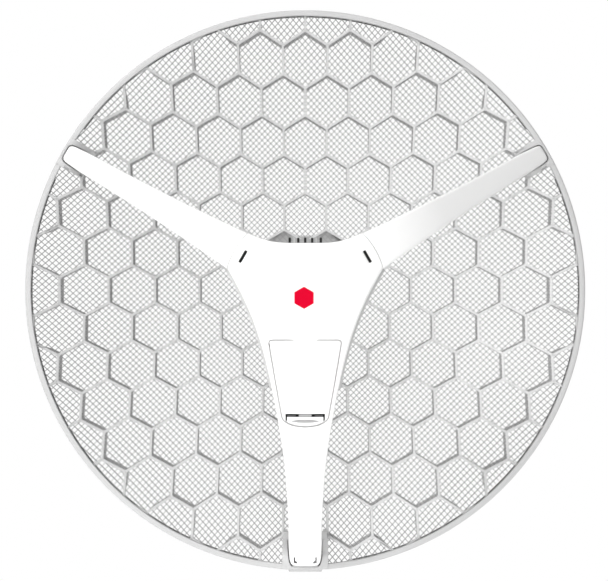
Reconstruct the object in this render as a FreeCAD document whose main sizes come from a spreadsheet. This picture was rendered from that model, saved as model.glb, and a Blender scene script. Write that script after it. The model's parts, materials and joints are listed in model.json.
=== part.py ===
"""Parabolic grid antenna with a snap-in feed unit on three arms and a mast mount.

Row frame: the mast axis is +Z and its clamp centre is the origin; the dish looks along -Y.
The dish and the feed are drawn in the dish frame (x to the right, y up, z forward from the
dish's vertex), and DISH places that frame in the row frame. Lengths are millimetres.
"""

import FreeCAD
import Part
import Sketcher
import math
import os
from FreeCAD import Placement, Rotation, Vector

doc = FreeCAD.newDocument("grid_antenna")

SIZES = [
    # reflector
    ("rim_radius", 275, "outer radius of the rim"),
    ("rim_wide", 5.6, "radial width of the rim"),
    ("rim_proud", 1.6, "rim in front of the parabola"),
    ("rim_deep", 15, "rim behind the parabola"),
    ("rim_thick", 3.2, "thickness of the rim's flange"),
    ("rim_skirt", 1.8, "thickness of the skirt behind its outer edge"),
    ("rim_bevel", 1.4, "bevel of the rim's outer front edge"),
    ("focal_length", 205, "focal length of the reflector"),
    ("cell_pitch", 44.7, "hexagon pitch across flats"),
    ("rib_wide", 2.5, "width of a hexagon rib"),
    ("rib_proud", 0.8, "rib in front of the parabola"),
    ("rib_deep", 13.6, "rib behind the parabola"),
    ("lattice_radius", 273.4, "radius where the ribs meet the rim's skirt"),
    ("hub_back", 8, "flat back of the hub behind the vertex"),
    ("hub_flat_radius", 68, "radius of that flat back"),
    ("hub_skin", 3, "thickness of the hub plate"),
    ("petal_front", 4, "front of the plates in the six cells round the hub"),
    ("hub_tab_wide", 24.8, "width of the plate over the hub's top valley"),
    ("hub_tab_top", 58.4, "its top edge"),
    ("mesh_thick", 0.5, "thickness of the wire mesh sheet"),
    ("mesh_inner", 55, "inner radius of the mesh sheet"),
    ("mesh_outer", 272, "outer radius of the mesh sheet"),
    ("hub_screw_x", 24, "hub screw place across"),
    ("hub_screw_y", 24, "hub screw place up"),
    ("boss_radius", 5.5, "radius of a hub screw boss"),
    ("hub_hole_radius", 2.5, "radius of a hub screw hole"),
    # arm sockets
    ("socket_floor", 78, "back of a socket floor"),
    ("socket_seat", 82.2, "front of a socket floor"),
    ("socket_top", 95, "front of the socket walls"),
    ("socket_start", 246, "inner end of an upper socket"),
    ("socket_half", 15, "half width of an upper socket"),
    ("socket_room", 10.6, "half width of the room for an upper arm"),
    ("low_socket_start", 240, "inner end of the lower socket"),
    ("low_socket_half", 22.5, "half width of the lower socket"),
    ("low_socket_end", 277.5, "outer end of the lower socket"),
    ("low_socket_end_half", 18, "half width at its outer end"),
    ("outlet_wide", 10, "width of the cable outlet below the foot"),
    ("socket_end", 271, "outer end of the room for an arm"),
    # feed housing
    ("nose_height", 228, "front of the housing from the vertex"),
    ("nose_flat", 14.8, "radius of its flat nose"),
    ("nose_arc", 220, "arc radius of the front profile"),
    ("arc_end", 142.2, "radius where the profile turns straight"),
    ("profile_end", 285, "radius where the profile stops"),
    ("cover_wall", 2.4, "wall of the front cover"),
    ("cover_deep", 14, "depth of the front cover's sides"),
    ("seam_radius", 69.5, "radius of the seam to the upper arms"),
    ("seam_high", 135, "angle of the seam's upper end"),
    ("seam_low", 164.4, "angle of the seam's lower end"),
    ("valley_top", 40.4, "top edge of the housing at the middle"),
    ("valley_side", 32.1, "half width of the nearly flat top edge"),
    ("valley_side_top", 42.7, "top edge at that half width"),
    ("shoulder_half", 53.8, "half width at the shoulder"),
    ("shoulder_y", -5.3, "height of the shoulder"),
    ("waist_half", 38.7, "half width at the waist"),
    ("waist_y", -44, "height of the waist"),
    ("throat_half", 27.8, "half width at the throat"),
    ("throat_y", -92, "height of the throat"),
    ("shin_half", 19.8, "half width at the shin"),
    ("shin_y", -147, "height of the shin"),
    ("foot_half", 15.7, "half width of the lower arm's foot"),
    ("foot_y", -226, "height where the foot begins"),
    ("foot_low", -249, "height where the foot narrows"),
    ("toe_half", 14.5, "half width near the foot's end"),
    ("toe_y", -266.2, "height of that half width"),
    ("toe_end_half", 11.6, "half width of the foot's end"),
    ("foot_end", 270.2, "end of the lower arm"),
    ("slit_x", 11.3, "slits beside the foot's snap tab"),
    ("slit_top", -262.5, "upper end of these slits"),
    ("slit_wide", 0.8, "width of these slits"),
    ("screw_boss_radius", 3.3, "radius of a screw boss of the front cover"),
    ("grommet_y", -123.6, "height of the grommet's wall"),
    ("grommet_z", 192.4, "cable's way in from the vertex"),
    ("grommet_neck", 3.4, "radius of the grommet in its wall"),
    ("grommet_lip", 4, "radius of the grommet's lips"),
    # upper arms
    ("arm_start", 69.8, "inner end of an upper arm"),
    ("arm_end", 270.2, "outer end of an upper arm"),
    ("arm_root_half", 17.6, "half width of an upper arm at its root"),
    ("arm_mid_half", 13.4, "half width at 130 mm"),
    ("arm_thin_half", 11.2, "half width at 190 mm"),
    ("arm_tip_half", 9.8, "half width where the tip begins"),
    ("arm_tip_end_half", 5.9, "half width of the tip's end"),
    ("arm_rib_thick", 1.6, "thickness of an arm's inner ribs"),
    ("arm_wall", 2.2, "wall of an upper arm"),
    ("tongue_start", 50, "inner end of an arm's tongue"),
    ("tongue_half", 11, "half width of the tongue"),
    ("tongue_front", 3.2, "tongue's front below the housing's front"),
    ("tongue_back", 8.8, "tongue's back below the housing's front"),
    ("slot_radius", 60.2, "radius of the snap slots"),
    ("slot_long", 9.9, "length of a snap slot"),
    ("slot_wide", 1.9, "width of a snap slot"),
    ("hook_top", 1.2, "snap hook's top below the housing's front"),
    # service door
    ("door_top", -43.05, "top edge of the door"),
    ("door_top_half", 31, "half width of the door's top"),
    ("door_bottom", -110.4, "where the door's curved end begins"),
    ("door_bottom_half", 20.1, "half width there"),
    ("door_end", -119.6, "lowest point of the door"),
    ("door_corner", 3.5, "corner of the door's top edge"),
    ("door_thick", 2.2, "thickness of the door"),
    ("door_gap", 0.4, "gap round the door"),
    ("door_lip", 2.9, "ledge under the door's edge"),
    ("door_axis_y", -41.2, "height of the door's hinge axis"),
    ("door_axis_z", 225, "hinge axis from the vertex"),
    ("hinge_radius", 1.4, "radius of the hinge barrel"),
    ("hinge_half", 10.2, "half length of the hinge barrel"),
    ("pin_radius", 0.75, "radius of the hinge pin"),
    ("pin_play", 0.05, "radial clearance on the pins"),
    ("pin_half", 14, "half length of the hinge pin"),
    ("latch_half", 16, "half width of the latch"),
    ("latch_window_top", -108.6, "top of the latch's window in the door"),
    ("latch_top", -111.3, "top edge of the latch"),
    ("latch_tab_half", 5.6, "half width of its thumb tab"),
    ("latch_tab_top", -109.5, "top edge of the thumb tab"),
    ("latch_inset", 0.7, "latch's lower edge inside the door's outline"),
    ("latch_gap", 1, "gap beside the latch"),
    ("latch_thick", 1.8, "thickness of the latch"),
    ("latch_axis_y", -112.6, "height of the latch's axis"),
    ("latch_axis_z", 203.2, "latch axis from the vertex"),
    # back cover
    ("back_step", 2.5, "back cover outside the front cover"),
    ("back_drop", 2, "back cover below the front cover's outline"),
    ("back_end", 186, "back of the back cover from the vertex"),
    ("back_floor", 2.4, "floor of the back cover"),
    ("back_low", -88, "lower end of the back cover"),
    ("flange_thick", 4, "thickness of the back cover's flange"),
    ("lid_thick", 1.8, "thickness of the lower arm's lid"),
    # board and what it carries
    ("board_front", 201, "front face of the circuit board"),
    ("board_thick", 1.6, "thickness of the circuit board"),
    ("jack_wide", 16.4, "width of the network port"),
    ("jack_long", 21.5, "length of the network port"),
    ("jack_high", 13.2, "height of the network port"),
    ("jack_y", -65.4, "middle of the network port"),
    ("port_wide", 11.9, "width of the port's opening"),
    ("port_high", 8.6, "height of the port's opening"),
    ("port_deep", 15, "depth of the port's opening"),
    ("shield_wide", 44, "width of the shield can"),
    ("shield_long", 34, "length of the shield can"),
    ("shield_high", 4, "height of the shield can"),
    ("shield_wall", 0.4, "sheet of the shield can"),
    ("patch_side", 26, "side of the antenna plate"),
    ("patch_thick", 0.6, "thickness of the antenna plate"),
    ("patch_gap", 5.4, "height of the antenna plate off the board"),
    ("switch_side", 6, "side of the reset switch"),
    ("switch_high", 3.4, "height of the reset switch"),
    ("switch_x", 14.9, "reset switch place across"),
    ("switch_y", -66, "reset switch place up"),
    ("plunger_radius", 1.7, "radius of the reset button"),
    # mast mount
    ("mast_radius", 25, "radius of the mast"),
    ("vertex_back", 90, "dish vertex in front of the mast axis"),
    ("saddle_half", 22, "half width of the mast bracket"),
    ("saddle_front", 35, "front of the mast bracket from the mast axis"),
    ("saddle_back", 12, "open side of the mast bracket from the mast axis"),
    ("saddle_tall", 90, "height of the mast bracket"),
    ("band_z", 30, "height of the bands"),
    ("band_wide", 12, "width of a band"),
    ("band_thick", 0.8, "thickness of a band"),
    ("band_reach", 31.2, "band's crossing from the mast axis"),
    ("band_slot_tall", 14, "height of the band slots"),
    ("band_slot_deep", 2.6, "depth of the band slots"),
    ("pivot_y", 57, "tilt pivot in front of the mast axis"),
    ("tongue_wide", 16, "width of the bracket's tongue"),
    ("lock_drop", 15, "lock bolt below the pivot"),
    ("ear_gap", 8.3, "ear's inner face from the middle"),
    ("ear_thick", 5, "thickness of an ear"),
    ("ear_radius", 21, "radius of an ear"),
    ("tilt_limit", 20, "tilt each way in degrees"),
    ("pivot_bolt_radius", 4, "radius of the pivot bolt"),
    ("lock_bolt_radius", 2.5, "radius of the lock bolt"),
    ("bolt_play", 0.06, "radial clearance on the bolts"),
    ("plate_half", 34, "half side of the hub bracket's plate"),
    ("plate_thick", 5, "thickness of the hub bracket's plate"),
    ("worm_x_half", 8, "half length of a worm housing"),
    ("worm_tall", 13, "height of a worm housing"),
    ("worm_deep", 10, "depth of a worm housing"),
    ("worm_radius", 3.6, "radius of the worm"),
]

sheet = doc.addObject("Spreadsheet::Sheet", "sizes")
for row, (alias, value, meaning) in enumerate(SIZES, start=1):
    sheet.set(f"A{row}", meaning)
    sheet.set(f"B{row}", str(value))
    sheet.setAlias(f"B{row}", alias)
doc.recompute()


def size(alias):
    return float(sheet.get(alias))


IDENTITY = Placement()
DISH = Placement(Vector(0, -size("vertex_back"), 0), Rotation(Vector(1, 0, 0), 90))
UPRIGHT = Rotation(Vector(1, 0, 0), 90)
FAR = 400
LOWEST = -40
sub_parts = []


def keep(feature, label, place=IDENTITY):
    """Name a finished sub-part and put it in the row frame."""
    feature.Label = label
    feature.Placement = place
    sub_parts.append(feature)
    return feature


def turned(angle):
    """The dish frame turned about its own axis, for an arm at that angle."""
    return DISH.multiply(Placement(Vector(), Rotation(Vector(0, 0, 1), angle)))


def gather(solids, label, place=DISH):
    """One sub-part of several separate solids, such as a set of screws."""
    group = doc.addObject("Part::Compound", label)
    group.Links = solids
    return keep(group, label, place)


# ---- Part workbench helpers --------------------------------------------------------------


def boolean(kind, name, base, tool):
    result = doc.addObject(f"Part::{kind}", name)
    result.Base = base
    result.Tool = tool
    return result


def cut(name, base, tool):
    return boolean("Cut", name, base, tool)


def common(name, base, tool):
    return boolean("Common", name, base, tool)


def fuse(name, *shapes):
    result = doc.addObject("Part::MultiFuse", name)
    result.Shapes = list(shapes)
    return result


def block(name, low, high):
    """Box between two corners."""
    result = doc.addObject("Part::Box", name)
    result.Length = high[0] - low[0]
    result.Width = high[1] - low[1]
    result.Height = high[2] - low[2]
    result.Placement.Base = Vector(*low)
    return result


def rod(name, radius, length, start, direction=(0, 0, 1)):
    """Cylinder whose radius is an expression of the sheet."""
    result = doc.addObject("Part::Cylinder", name)
    result.setExpression("Radius", radius)
    result.Height = length
    result.Placement = Placement(Vector(*start), Rotation(Vector(0, 0, 1), Vector(*direction)))
    return result


def prism(name, loop, grow=0.0, low=LOWEST, high=FAR):
    """Closed loop of curves, grown outward and pulled along z."""
    sketch = doc.addObject("Sketcher::SketchObject", f"{name}_plan")
    sketch.addGeometry([drawn(curve) for curve in grown(loop, grow)], False)
    result = doc.addObject("Part::Extrusion", name)
    result.Base = sketch
    result.DirMode = "Custom"
    result.Dir = Vector(0, 0, 1)
    result.LengthFwd = high - low
    result.Solid = True
    result.Placement.Base = Vector(0, 0, low)
    return result


# ---- sketch helpers ----------------------------------------------------------------------


def line(start, end):
    return Part.LineSegment(Vector(*start, 0), Vector(*end, 0))


def arc(centre, radius, first, last):
    """Arc from angle first to angle last in degrees, counterclockwise."""
    circle = Part.Circle(Vector(*centre, 0), Vector(0, 0, 1), radius)
    return Part.ArcOfCircle(circle, math.radians(first), math.radians(last))


def smooth(points):
    curve = Part.BSplineCurve()
    curve.interpolate([Vector(*point, 0) for point in points])
    return curve


def drawn(curve):
    """Sketch geometry of one curve of a loop: (kind, points, centre)."""
    kind, points, centre = curve
    if kind == "line":
        return line(*points)
    if kind == "smooth":
        return smooth(points)
    start, end = [Vector(x - centre[0], y - centre[1], 0) for x, y in points]
    first = math.degrees(math.atan2(start.y, start.x))
    last = math.degrees(math.atan2(end.y, end.x))
    return arc(centre, start.Length, first, last if last > first else last + 360)


def directions(curve):
    """Unit direction of travel at each point of a curve."""
    kind, points, centre = curve
    if kind == "line":
        along = Vector(*points[1], 0) - Vector(*points[0], 0)
        return [along.normalize()] * 2
    if kind == "arc":
        return [Vector(centre[1] - y, x - centre[0], 0).normalize() for x, y in points]
    path = smooth(points)
    return [Vector(*path.tangent(path.parameter(Vector(*point, 0)))[0]) for point in points]


def moved(point, before, after, grow):
    """Point moved so that the edges before and after it both move outward by grow."""
    first = Vector(before.y, -before.x, 0)
    second = Vector(after.y, -after.x, 0)
    shift = (first + second) * (grow / (1 + first.dot(second)))
    return (point[0] + shift.x, point[1] + shift.y)


def grown(loop, grow):
    """Counterclockwise loop moved outward; its arcs stay on their own centres."""
    if not grow:
        return loop
    travel = [directions(curve) for curve in loop]
    result = []
    for index, (kind, points, centre) in enumerate(loop):
        own = travel[index]
        before = travel[index - 1][-1]
        after = travel[(index + 1) % len(loop)][0]
        places = [moved(point, way, way, grow) for point, way in zip(points, own)]
        places[0] = moved(points[0], before, own[0], grow)
        places[-1] = moved(points[-1], own[-1], after, grow)
        result.append([kind, places, centre])
    for index, (kind, points, centre) in enumerate(result):
        if kind != "arc":
            continue
        radius = math.dist(loop[index][1][0], centre) + grow
        for end in (0, -1):
            scale = radius / math.dist(points[end], centre)
            points[end] = tuple(c + (p - c) * scale for p, c in zip(points[end], centre))
        result[index - 1][1][-1] = points[0]
        result[(index + 1) % len(result)][1][0] = points[-1]
    return result


def lines_through(points):
    return [("line", [start, end], None) for start, end in zip(points, points[1:])]


def closed_lines(points):
    return [line(start, end) for start, end in zip(points, points[1:] + points[:1])]


def polygon(sketch, points):
    first = sketch.GeometryCount
    count = len(points)
    sketch.addGeometry(closed_lines(points), False)
    joints = [
        Sketcher.Constraint("Coincident", first + index, 2, first + (index + 1) % count, 1)
        for index in range(count)
    ]
    sketch.addConstraint(joints)
    return first


def measure(sketch, kind, elements, expression):
    """Add one dimension and tie it to the sheet."""
    index = sketch.addConstraint(Sketcher.Constraint(kind, *elements, 1.0))
    sketch.setExpression(f"Constraints[{index}]", expression)


def rectangle(sketch, wide, high, x="0", y="0"):
    """Rectangle centred on (x, y), all four given as expressions."""
    first = polygon(sketch, [(0, 0), (1, 0), (1, 1), (0, 1)])
    for index, kind in enumerate(("Horizontal", "Vertical", "Horizontal", "Vertical")):
        sketch.addConstraint(Sketcher.Constraint(kind, first + index))
    measure(sketch, "DistanceX", (first, 1, first, 2), wide)
    measure(sketch, "DistanceY", (first + 1, 1, first + 1, 2), high)
    measure(sketch, "DistanceX", (-1, 1, first, 1), f"({x}) - ({wide}) / 2")
    measure(sketch, "DistanceY", (-1, 1, first, 1), f"({y}) - ({high}) / 2")


def ring(sketch, radius, x="0", y="0"):
    """Circle about (x, y), all three given as expressions."""
    index = sketch.addGeometry(Part.Circle(Vector(1, 1, 0), Vector(0, 0, 1), 1), False)
    measure(sketch, "Radius", (index,), radius)
    measure(sketch, "DistanceX", (-1, 1, index, 3), x)
    measure(sketch, "DistanceY", (-1, 1, index, 3), y)


def hexagon_points(across_corners, x=0.0, y=0.0, turn=0.0):
    radius = across_corners / 2
    angles = [math.radians(60 * corner + turn) for corner in range(6)]
    return [(x + radius * math.cos(a), y + radius * math.sin(a)) for a in angles]


# ---- Part Design helpers -----------------------------------------------------------------


def new_body(label, place=IDENTITY):
    return keep(doc.addObject("PartDesign::Body", label), label, place)


def new_sketch(body, role="XY_Plane", lift=None):
    sketch = body.newObject("Sketcher::SketchObject", "sketch")
    plane = [feature for feature in body.Origin.OriginFeatures if feature.Role == role][0]
    sketch.AttachmentSupport = [(plane, "")]
    sketch.MapMode = "FlatFace"
    if lift:
        sketch.setExpression(".AttachmentOffset.Base.z", lift)
    return sketch


def pull(body, kind, sketch, length, midplane=False, reverse=False):
    feature = body.newObject(f"PartDesign::{kind}", kind.lower())
    feature.Profile = sketch
    feature.setExpression("Length", length)
    feature.Midplane = midplane
    feature.Reversed = reverse
    feature.Refine = False
    return feature


def pad(body, sketch, length, midplane=False, reverse=False):
    return pull(body, "Pad", sketch, length, midplane, reverse)


def pocket(body, sketch, length, midplane=False, reverse=False):
    return pull(body, "Pocket", sketch, length, midplane, reverse)


def spin(body, sketch, kind="Revolution", axis="V_Axis"):
    feature = body.newObject(f"PartDesign::{kind}", kind.lower())
    feature.Profile = sketch
    feature.ReferenceAxis = (sketch, [axis])
    feature.Angle = 360
    feature.Refine = False
    return feature


# ---- reflector ---------------------------------------------------------------------------


def parabola_height(radius):
    return radius**2 / (4 * size("focal_length"))


def parabola_arc(inner, outer, lift):
    """Stretch of the dish's parabola in an (r, z) sketch, as an exact quadratic spline."""
    low = parabola_height(inner) + lift
    high = parabola_height(outer) + lift
    middle = (inner + outer) / 2
    crossing = low + (middle - inner) * inner / (2 * size("focal_length"))
    poles = [Vector(inner, low, 0), Vector(middle, crossing, 0), Vector(outer, high, 0)]
    curve = Part.BSplineCurve()
    curve.buildFromPolesMultsKnots(poles, [3, 3], [0, 1], False, 2)
    return curve


def cell_centres(nearest, farthest):
    """Centres of the hexagons of the grid whose distance lies between two limits."""
    pitch = size("cell_pitch")
    rows = math.ceil(farthest / pitch) + 1
    for row in range(-rows, rows + 1):
        for column in range(-rows, rows + 1):
            x = (column + (row % 2) / 2) * pitch
            y = row * pitch * math.sqrt(3) / 2
            if nearest <= math.hypot(x, y) <= farthest:
                yield x, y


def cell_corners():
    """Corner to corner width of the opening between the ribs."""
    return (size("cell_pitch") - size("rib_wide")) * 2 / math.sqrt(3)


def hexagons(sketch, nearest, farthest):
    """Draw the openings of the grid between two distances from the axis."""
    lines = []
    for x, y in cell_centres(nearest, farthest):
        lines += closed_lines(hexagon_points(cell_corners(), x, y, 30))
    sketch.addGeometry(lines, False)


def rim_profile(sketch):
    """L-shaped section: a flange towards the axis, and a skirt behind its outer edge."""
    outer = size("rim_radius")
    inner = outer - size("rim_wide")
    skirt = outer - size("rim_skirt")
    bevel = size("rim_bevel")
    front = parabola_height(outer) + size("rim_proud")
    shelf = front - size("rim_thick")
    back = parabola_height(outer) - size("rim_deep")
    points = [(inner, shelf), (skirt, shelf), (skirt, back), (outer, back)]
    points += [(outer, front - bevel), (outer - bevel, front), (inner, front)]
    polygon(sketch, points)


def lattice_profile(sketch):
    outer = size("lattice_radius")
    flat = size("hub_flat_radius")
    proud = size("rib_proud")
    deep = size("rib_deep")
    back = -size("hub_back")
    step = parabola_height(flat) - deep
    sketch.addGeometry(parabola_arc(0, outer, proud), False)
    outer_front = (outer, parabola_height(outer) + proud)
    outer_back = (outer, parabola_height(outer) - deep)
    sketch.addGeometry(line(outer_front, outer_back), False)
    sketch.addGeometry(parabola_arc(flat, outer, -deep), False)
    sketch.addGeometry(line((flat, step), (flat, back)), False)
    sketch.addGeometry(line((flat, back), (0, back)), False)
    sketch.addGeometry(line((0, back), (0, proud)), False)


def upper_socket(body, angle):
    walls = new_sketch(body, lift="sizes.socket_floor")
    room = new_sketch(body, lift="sizes.socket_seat")
    half = size("socket_half")
    reach = math.sqrt(size("rim_radius") ** 2 - half**2)
    outline = turned_points([(size("socket_start"), -half), (reach, -half)], angle)
    outline += turned_points([(reach, half), (size("socket_start"), half)], angle)
    polygon(walls, outline)
    pad(body, walls, "sizes.socket_top - sizes.socket_floor")
    gap = size("socket_room")
    start = size("socket_start") - 20
    inside = [(start, -gap), (size("socket_end"), -gap), (size("socket_end"), gap), (start, gap)]
    polygon(room, turned_points(inside, angle))
    pocket(body, room, "100", reverse=True)


def turned_points(points, angle):
    cosine = math.cos(math.radians(angle))
    sine = math.sin(math.radians(angle))
    return [(x * cosine - y * sine, x * sine + y * cosine) for x, y in points]


def lower_socket(body):
    walls = new_sketch(body, lift="sizes.socket_floor")
    half = size("low_socket_half")
    end_half = size("low_socket_end_half")
    start = size("low_socket_start")
    end = size("low_socket_end")
    shoulder = size("socket_end") - 6
    outline = [(start, -half), (shoulder, -half), (end, -end_half)]
    outline += [(end, end_half), (shoulder, half), (start, half)]
    polygon(walls, turned_points(outline, -90))
    pad(body, walls, "sizes.socket_top - sizes.socket_floor")
    room = new_sketch(body, lift="sizes.socket_seat")
    gap = size("foot_half") + 0.5
    toe_gap = size("toe_half") + 0.8
    narrowing = -size("foot_low")
    inside = [(start - 20, -gap), (narrowing, -gap), (size("socket_end"), -toe_gap)]
    inside += [(size("socket_end"), toe_gap), (narrowing, gap), (start - 20, gap)]
    polygon(room, turned_points(inside, -90))
    pocket(body, room, "100", reverse=True)
    outlet = new_sketch(body, lift="sizes.socket_seat + 2")
    rectangle(outlet, "sizes.outlet_wide", "20", "0", "-sizes.low_socket_end")
    pocket(body, outlet, "20", reverse=True)


def reflector_frame():
    body = new_body("reflector_frame", DISH)
    band = new_sketch(body, "XZ_Plane")
    lattice_profile(band)
    spin(body, band)
    cells = new_sketch(body, lift="-20")
    pitch = size("cell_pitch")
    hexagons(cells, 1.1 * pitch, size("lattice_radius") + 0.55 * pitch)
    pocket(body, cells, "200", reverse=True)
    middle = new_sketch(body, lift="-20")
    hexagons(middle, 0, 0.5 * pitch)
    pocket(body, middle, "20 + sizes.rib_proud - sizes.hub_skin", reverse=True)
    petals = new_sketch(body, lift="-20")
    hexagons(petals, 0.5 * pitch, 1.1 * pitch)
    pocket(body, petals, "20 + sizes.rib_proud - sizes.hub_skin + 2.4", reverse=True)
    recess = new_sketch(body, lift="sizes.petal_front")
    hexagons(recess, 0.5 * pitch, 1.1 * pitch)
    pocket(body, recess, "20", reverse=True)
    rim = new_sketch(body, "XZ_Plane")
    rim_profile(rim)
    spin(body, rim)
    tab = new_sketch(body, lift="1")
    rectangle(tab, "sizes.hub_tab_wide", "24", "0", "sizes.hub_tab_top - 12")
    pad(body, tab, "3.4")
    bosses = new_sketch(body, lift="-sizes.hub_back")
    holes = new_sketch(body, lift="-sizes.hub_back")
    for across in ("-sizes.hub_screw_x", "sizes.hub_screw_x"):
        for up in ("-sizes.hub_screw_y", "sizes.hub_screw_y"):
            ring(bosses, "sizes.boss_radius", across, up)
            ring(holes, "sizes.hub_hole_radius", across, up)
    pad(body, bosses, "sizes.hub_back + 1")
    upper_socket(body, 30)
    upper_socket(body, 150)
    lower_socket(body)
    pocket(body, holes, "sizes.hub_back - 1", reverse=True)
    return body


def reflector_mesh():
    body = new_body("reflector_mesh", DISH)
    profile = new_sketch(body, "XZ_Plane")
    inner = size("mesh_inner")
    outer = size("mesh_outer")
    half = size("mesh_thick") / 2
    for radius in (inner, outer):
        height = parabola_height(radius)
        profile.addGeometry(line((radius, height - half), (radius, height + half)), False)
    for lift in (-half, half):
        profile.addGeometry(parabola_arc(inner, outer, lift), False)
    spin(body, profile)
    sockets = new_sketch(body, lift="-20")
    upper = (size("socket_start"), size("socket_half"))
    lower = (size("low_socket_start"), size("low_socket_half"))
    for angle, (start, half) in ((30, upper), (150, upper), (-90, lower)):
        corners = [(start, -half), (FAR, -half), (FAR, half), (start, half)]
        polygon(sockets, turned_points(corners, angle))
    pocket(body, sockets, "200", reverse=True)


# ---- feed housing ------------------------------------------------------------------------


def front_height(radius):
    """Height of the housing's front above the vertex plane."""
    flat = size("nose_flat")
    bend = size("nose_arc")
    if radius <= flat:
        return size("nose_height")
    inside = min(radius, size("arc_end")) - flat
    height = size("nose_height") - bend + math.sqrt(bend**2 - inside**2)
    if radius > size("arc_end"):
        start = size("arc_end") - flat
        height -= (radius - size("arc_end")) * start / math.sqrt(bend**2 - start**2)
    return height


def under_front(name, drop=None):
    """Solid under the housing's front profile, lowered by an expression."""
    profile = doc.addObject("Sketcher::SketchObject", f"{name}_profile")
    profile.Placement = Placement(Vector(), UPRIGHT)
    flat = size("nose_flat")
    bend = size("nose_arc")
    centre = (flat, size("nose_height") - bend)
    bend_end = math.degrees(math.acos((size("arc_end") - flat) / bend))
    last = size("profile_end")
    corners = [(0, size("nose_height")), (flat, size("nose_height"))]
    profile.addGeometry(line(corners[0], corners[1]), False)
    profile.addGeometry(arc(centre, bend, bend_end, 90), False)
    turn = (size("arc_end"), front_height(size("arc_end")))
    profile.addGeometry(line(turn, (last, front_height(last))), False)
    profile.addGeometry(line((last, front_height(last)), (last, LOWEST)), False)
    profile.addGeometry(line((last, LOWEST), (0, LOWEST)), False)
    profile.addGeometry(line((0, LOWEST), corners[0]), False)
    solid = doc.addObject("Part::Revolution", name)
    solid.Source = profile
    solid.Axis = Vector(0, 0, 1)
    solid.Angle = 360
    solid.Solid = True
    if drop:
        solid.setExpression(".Placement.Base.z", f"-({drop})")
    return solid


def layer(name, top, bottom):
    """Curved layer between two depths under the housing's front."""
    return cut(name, under_front(f"{name}_top", top), under_front(f"{name}_bottom", bottom))


def mirrored(points):
    return [(-x, y) for x, y in reversed(points)]


def polar(radius, degrees):
    return (radius * math.cos(math.radians(degrees)), radius * math.sin(math.radians(degrees)))


def housing_outline():
    """Outline of the housing with its lower arm, seen from the front."""
    seam = size("seam_radius")
    high = polar(seam, size("seam_high"))
    low = polar(seam, size("seam_low"))
    valley = [high, (-size("valley_side"), size("valley_side_top")), (0, size("valley_top"))]
    valley += mirrored(valley[:-1])
    valley.reverse()
    side = [low]
    for place in ("shoulder", "waist", "throat", "shin", "foot"):
        side.append((-size(f"{place}_half"), size(f"{place}_y")))
    foot = [side[-1], (-size("foot_half"), size("foot_low"))]
    foot += [(-size("toe_half"), size("toe_y")), (-size("toe_end_half"), -size("foot_end"))]
    foot += mirrored(foot)
    return [
        ("smooth", valley, None),
        ("arc", [high, low], (0, 0)),
        ("smooth", side, None),
        *lines_through(foot),
        ("smooth", mirrored(side), None),
        ("arc", mirrored([high, low]), (0, 0)),
    ]


def door_outline():
    """Outline of the service door."""
    top = size("door_top")
    top_half = size("door_top_half")
    corner = size("door_corner")
    bow = [(-size("door_bottom_half"), size("door_bottom")), (-19, -113), (-16.1, -115.7)]
    bow += [(-12, -117.8), (-6, -119.2)]
    bow += [(0, size("door_end")), *mirrored(bow)]
    start = bow[-1]
    slope = math.atan2(start[1] - top, start[0] - top_half)
    side = (top_half + corner * math.cos(slope), top + corner * math.sin(slope))
    rounding = [side, (top_half - 0.75, top - 1), (top_half - corner, top)]
    return [
        ("smooth", bow, None),
        *lines_through([start, side]),
        ("smooth", rounding, None),
        *lines_through([rounding[-1], (corner - top_half, top)]),
        ("smooth", mirrored(rounding), None),
        *lines_through([(-side[0], side[1]), bow[0]]),
    ]


def arm_outline():
    """Outline of an upper arm, along +x from the dish's axis, its root inside the seam."""
    start = size("arm_start") - 2
    end = size("arm_end")
    half = size("arm_root_half")
    side = [(math.sqrt(start**2 - half**2), half), (130, size("arm_mid_half"))]
    side += [(190, size("arm_thin_half")), (248, size("arm_tip_half"))]
    tip = [side[-1], (end - 4, size("arm_tip_half") - 0.9), (end, size("arm_tip_end_half"))]
    tip += [(x, -y) for x, y in reversed(tip)]
    tip.reverse()
    side.reverse()
    below = [(x, -y) for x, y in reversed(side)]
    return [
        ("smooth", below, None),
        *lines_through(tip),
        ("smooth", side, None),
        *lines_through([side[-1], below[0]]),
    ]


SCREW_PLACES = [(-40, -9), (40, -9), (-14.5, 32), (14.5, 32)]


def snap_slot(angle):
    """Window for an arm's snap hook, and the window its tongue passes through."""
    wide = size("slot_wide") / 2
    half_long = size("slot_long") / 2
    low = (size("slot_radius") - wide, -half_long, 200)
    high = (size("slot_radius") + wide, half_long, FAR)
    slot = block("snap_slot", low, high)
    half = size("tongue_half") + 0.3
    window = block("tongue_window", (62, -half, 150), (73, half, FAR))
    room = layer("tongue_room", "sizes.tongue_front - 0.3", "sizes.tongue_back + 0.3")
    both = fuse("snap_cut", slot, common("tongue_gap", window, room))
    both.Placement = Placement(Vector(), Rotation(Vector(0, 0, 1), angle))
    return both


def cover_shell():
    """Rounded front with side walls, open towards the dish."""
    band = layer("cover_band", "0", "sizes.cover_deep")
    outer = common("cover_outer", prism("cover_outline", outline), band)
    inset = prism("cover_room_outline", outline, -size("cover_wall"))
    room = common("cover_room", inset, under_front("cover_room_top", "sizes.cover_wall"))
    return cut("cover_shell", outer, room)


def door_ledge():
    """Ledge that carries the door's gasket."""
    outer = prism("ledge_outer", door, 1.4)
    ring_shape = cut("ledge_ring", outer, prism("ledge_inner", door, -size("door_lip")))
    band = layer("ledge_band", "sizes.cover_wall", "sizes.cover_wall + 2")
    return common("ledge", ring_shape, band)


def cover_bosses():
    bosses = [rod("screw_boss", "sizes.screw_boss_radius", 60, (*place, 196)) for place in SCREW_PLACES]
    band = layer("boss_band", "sizes.cover_wall", "sizes.cover_deep")
    return common("screw_bosses", fuse("boss_rods", *bosses), band)


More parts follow.
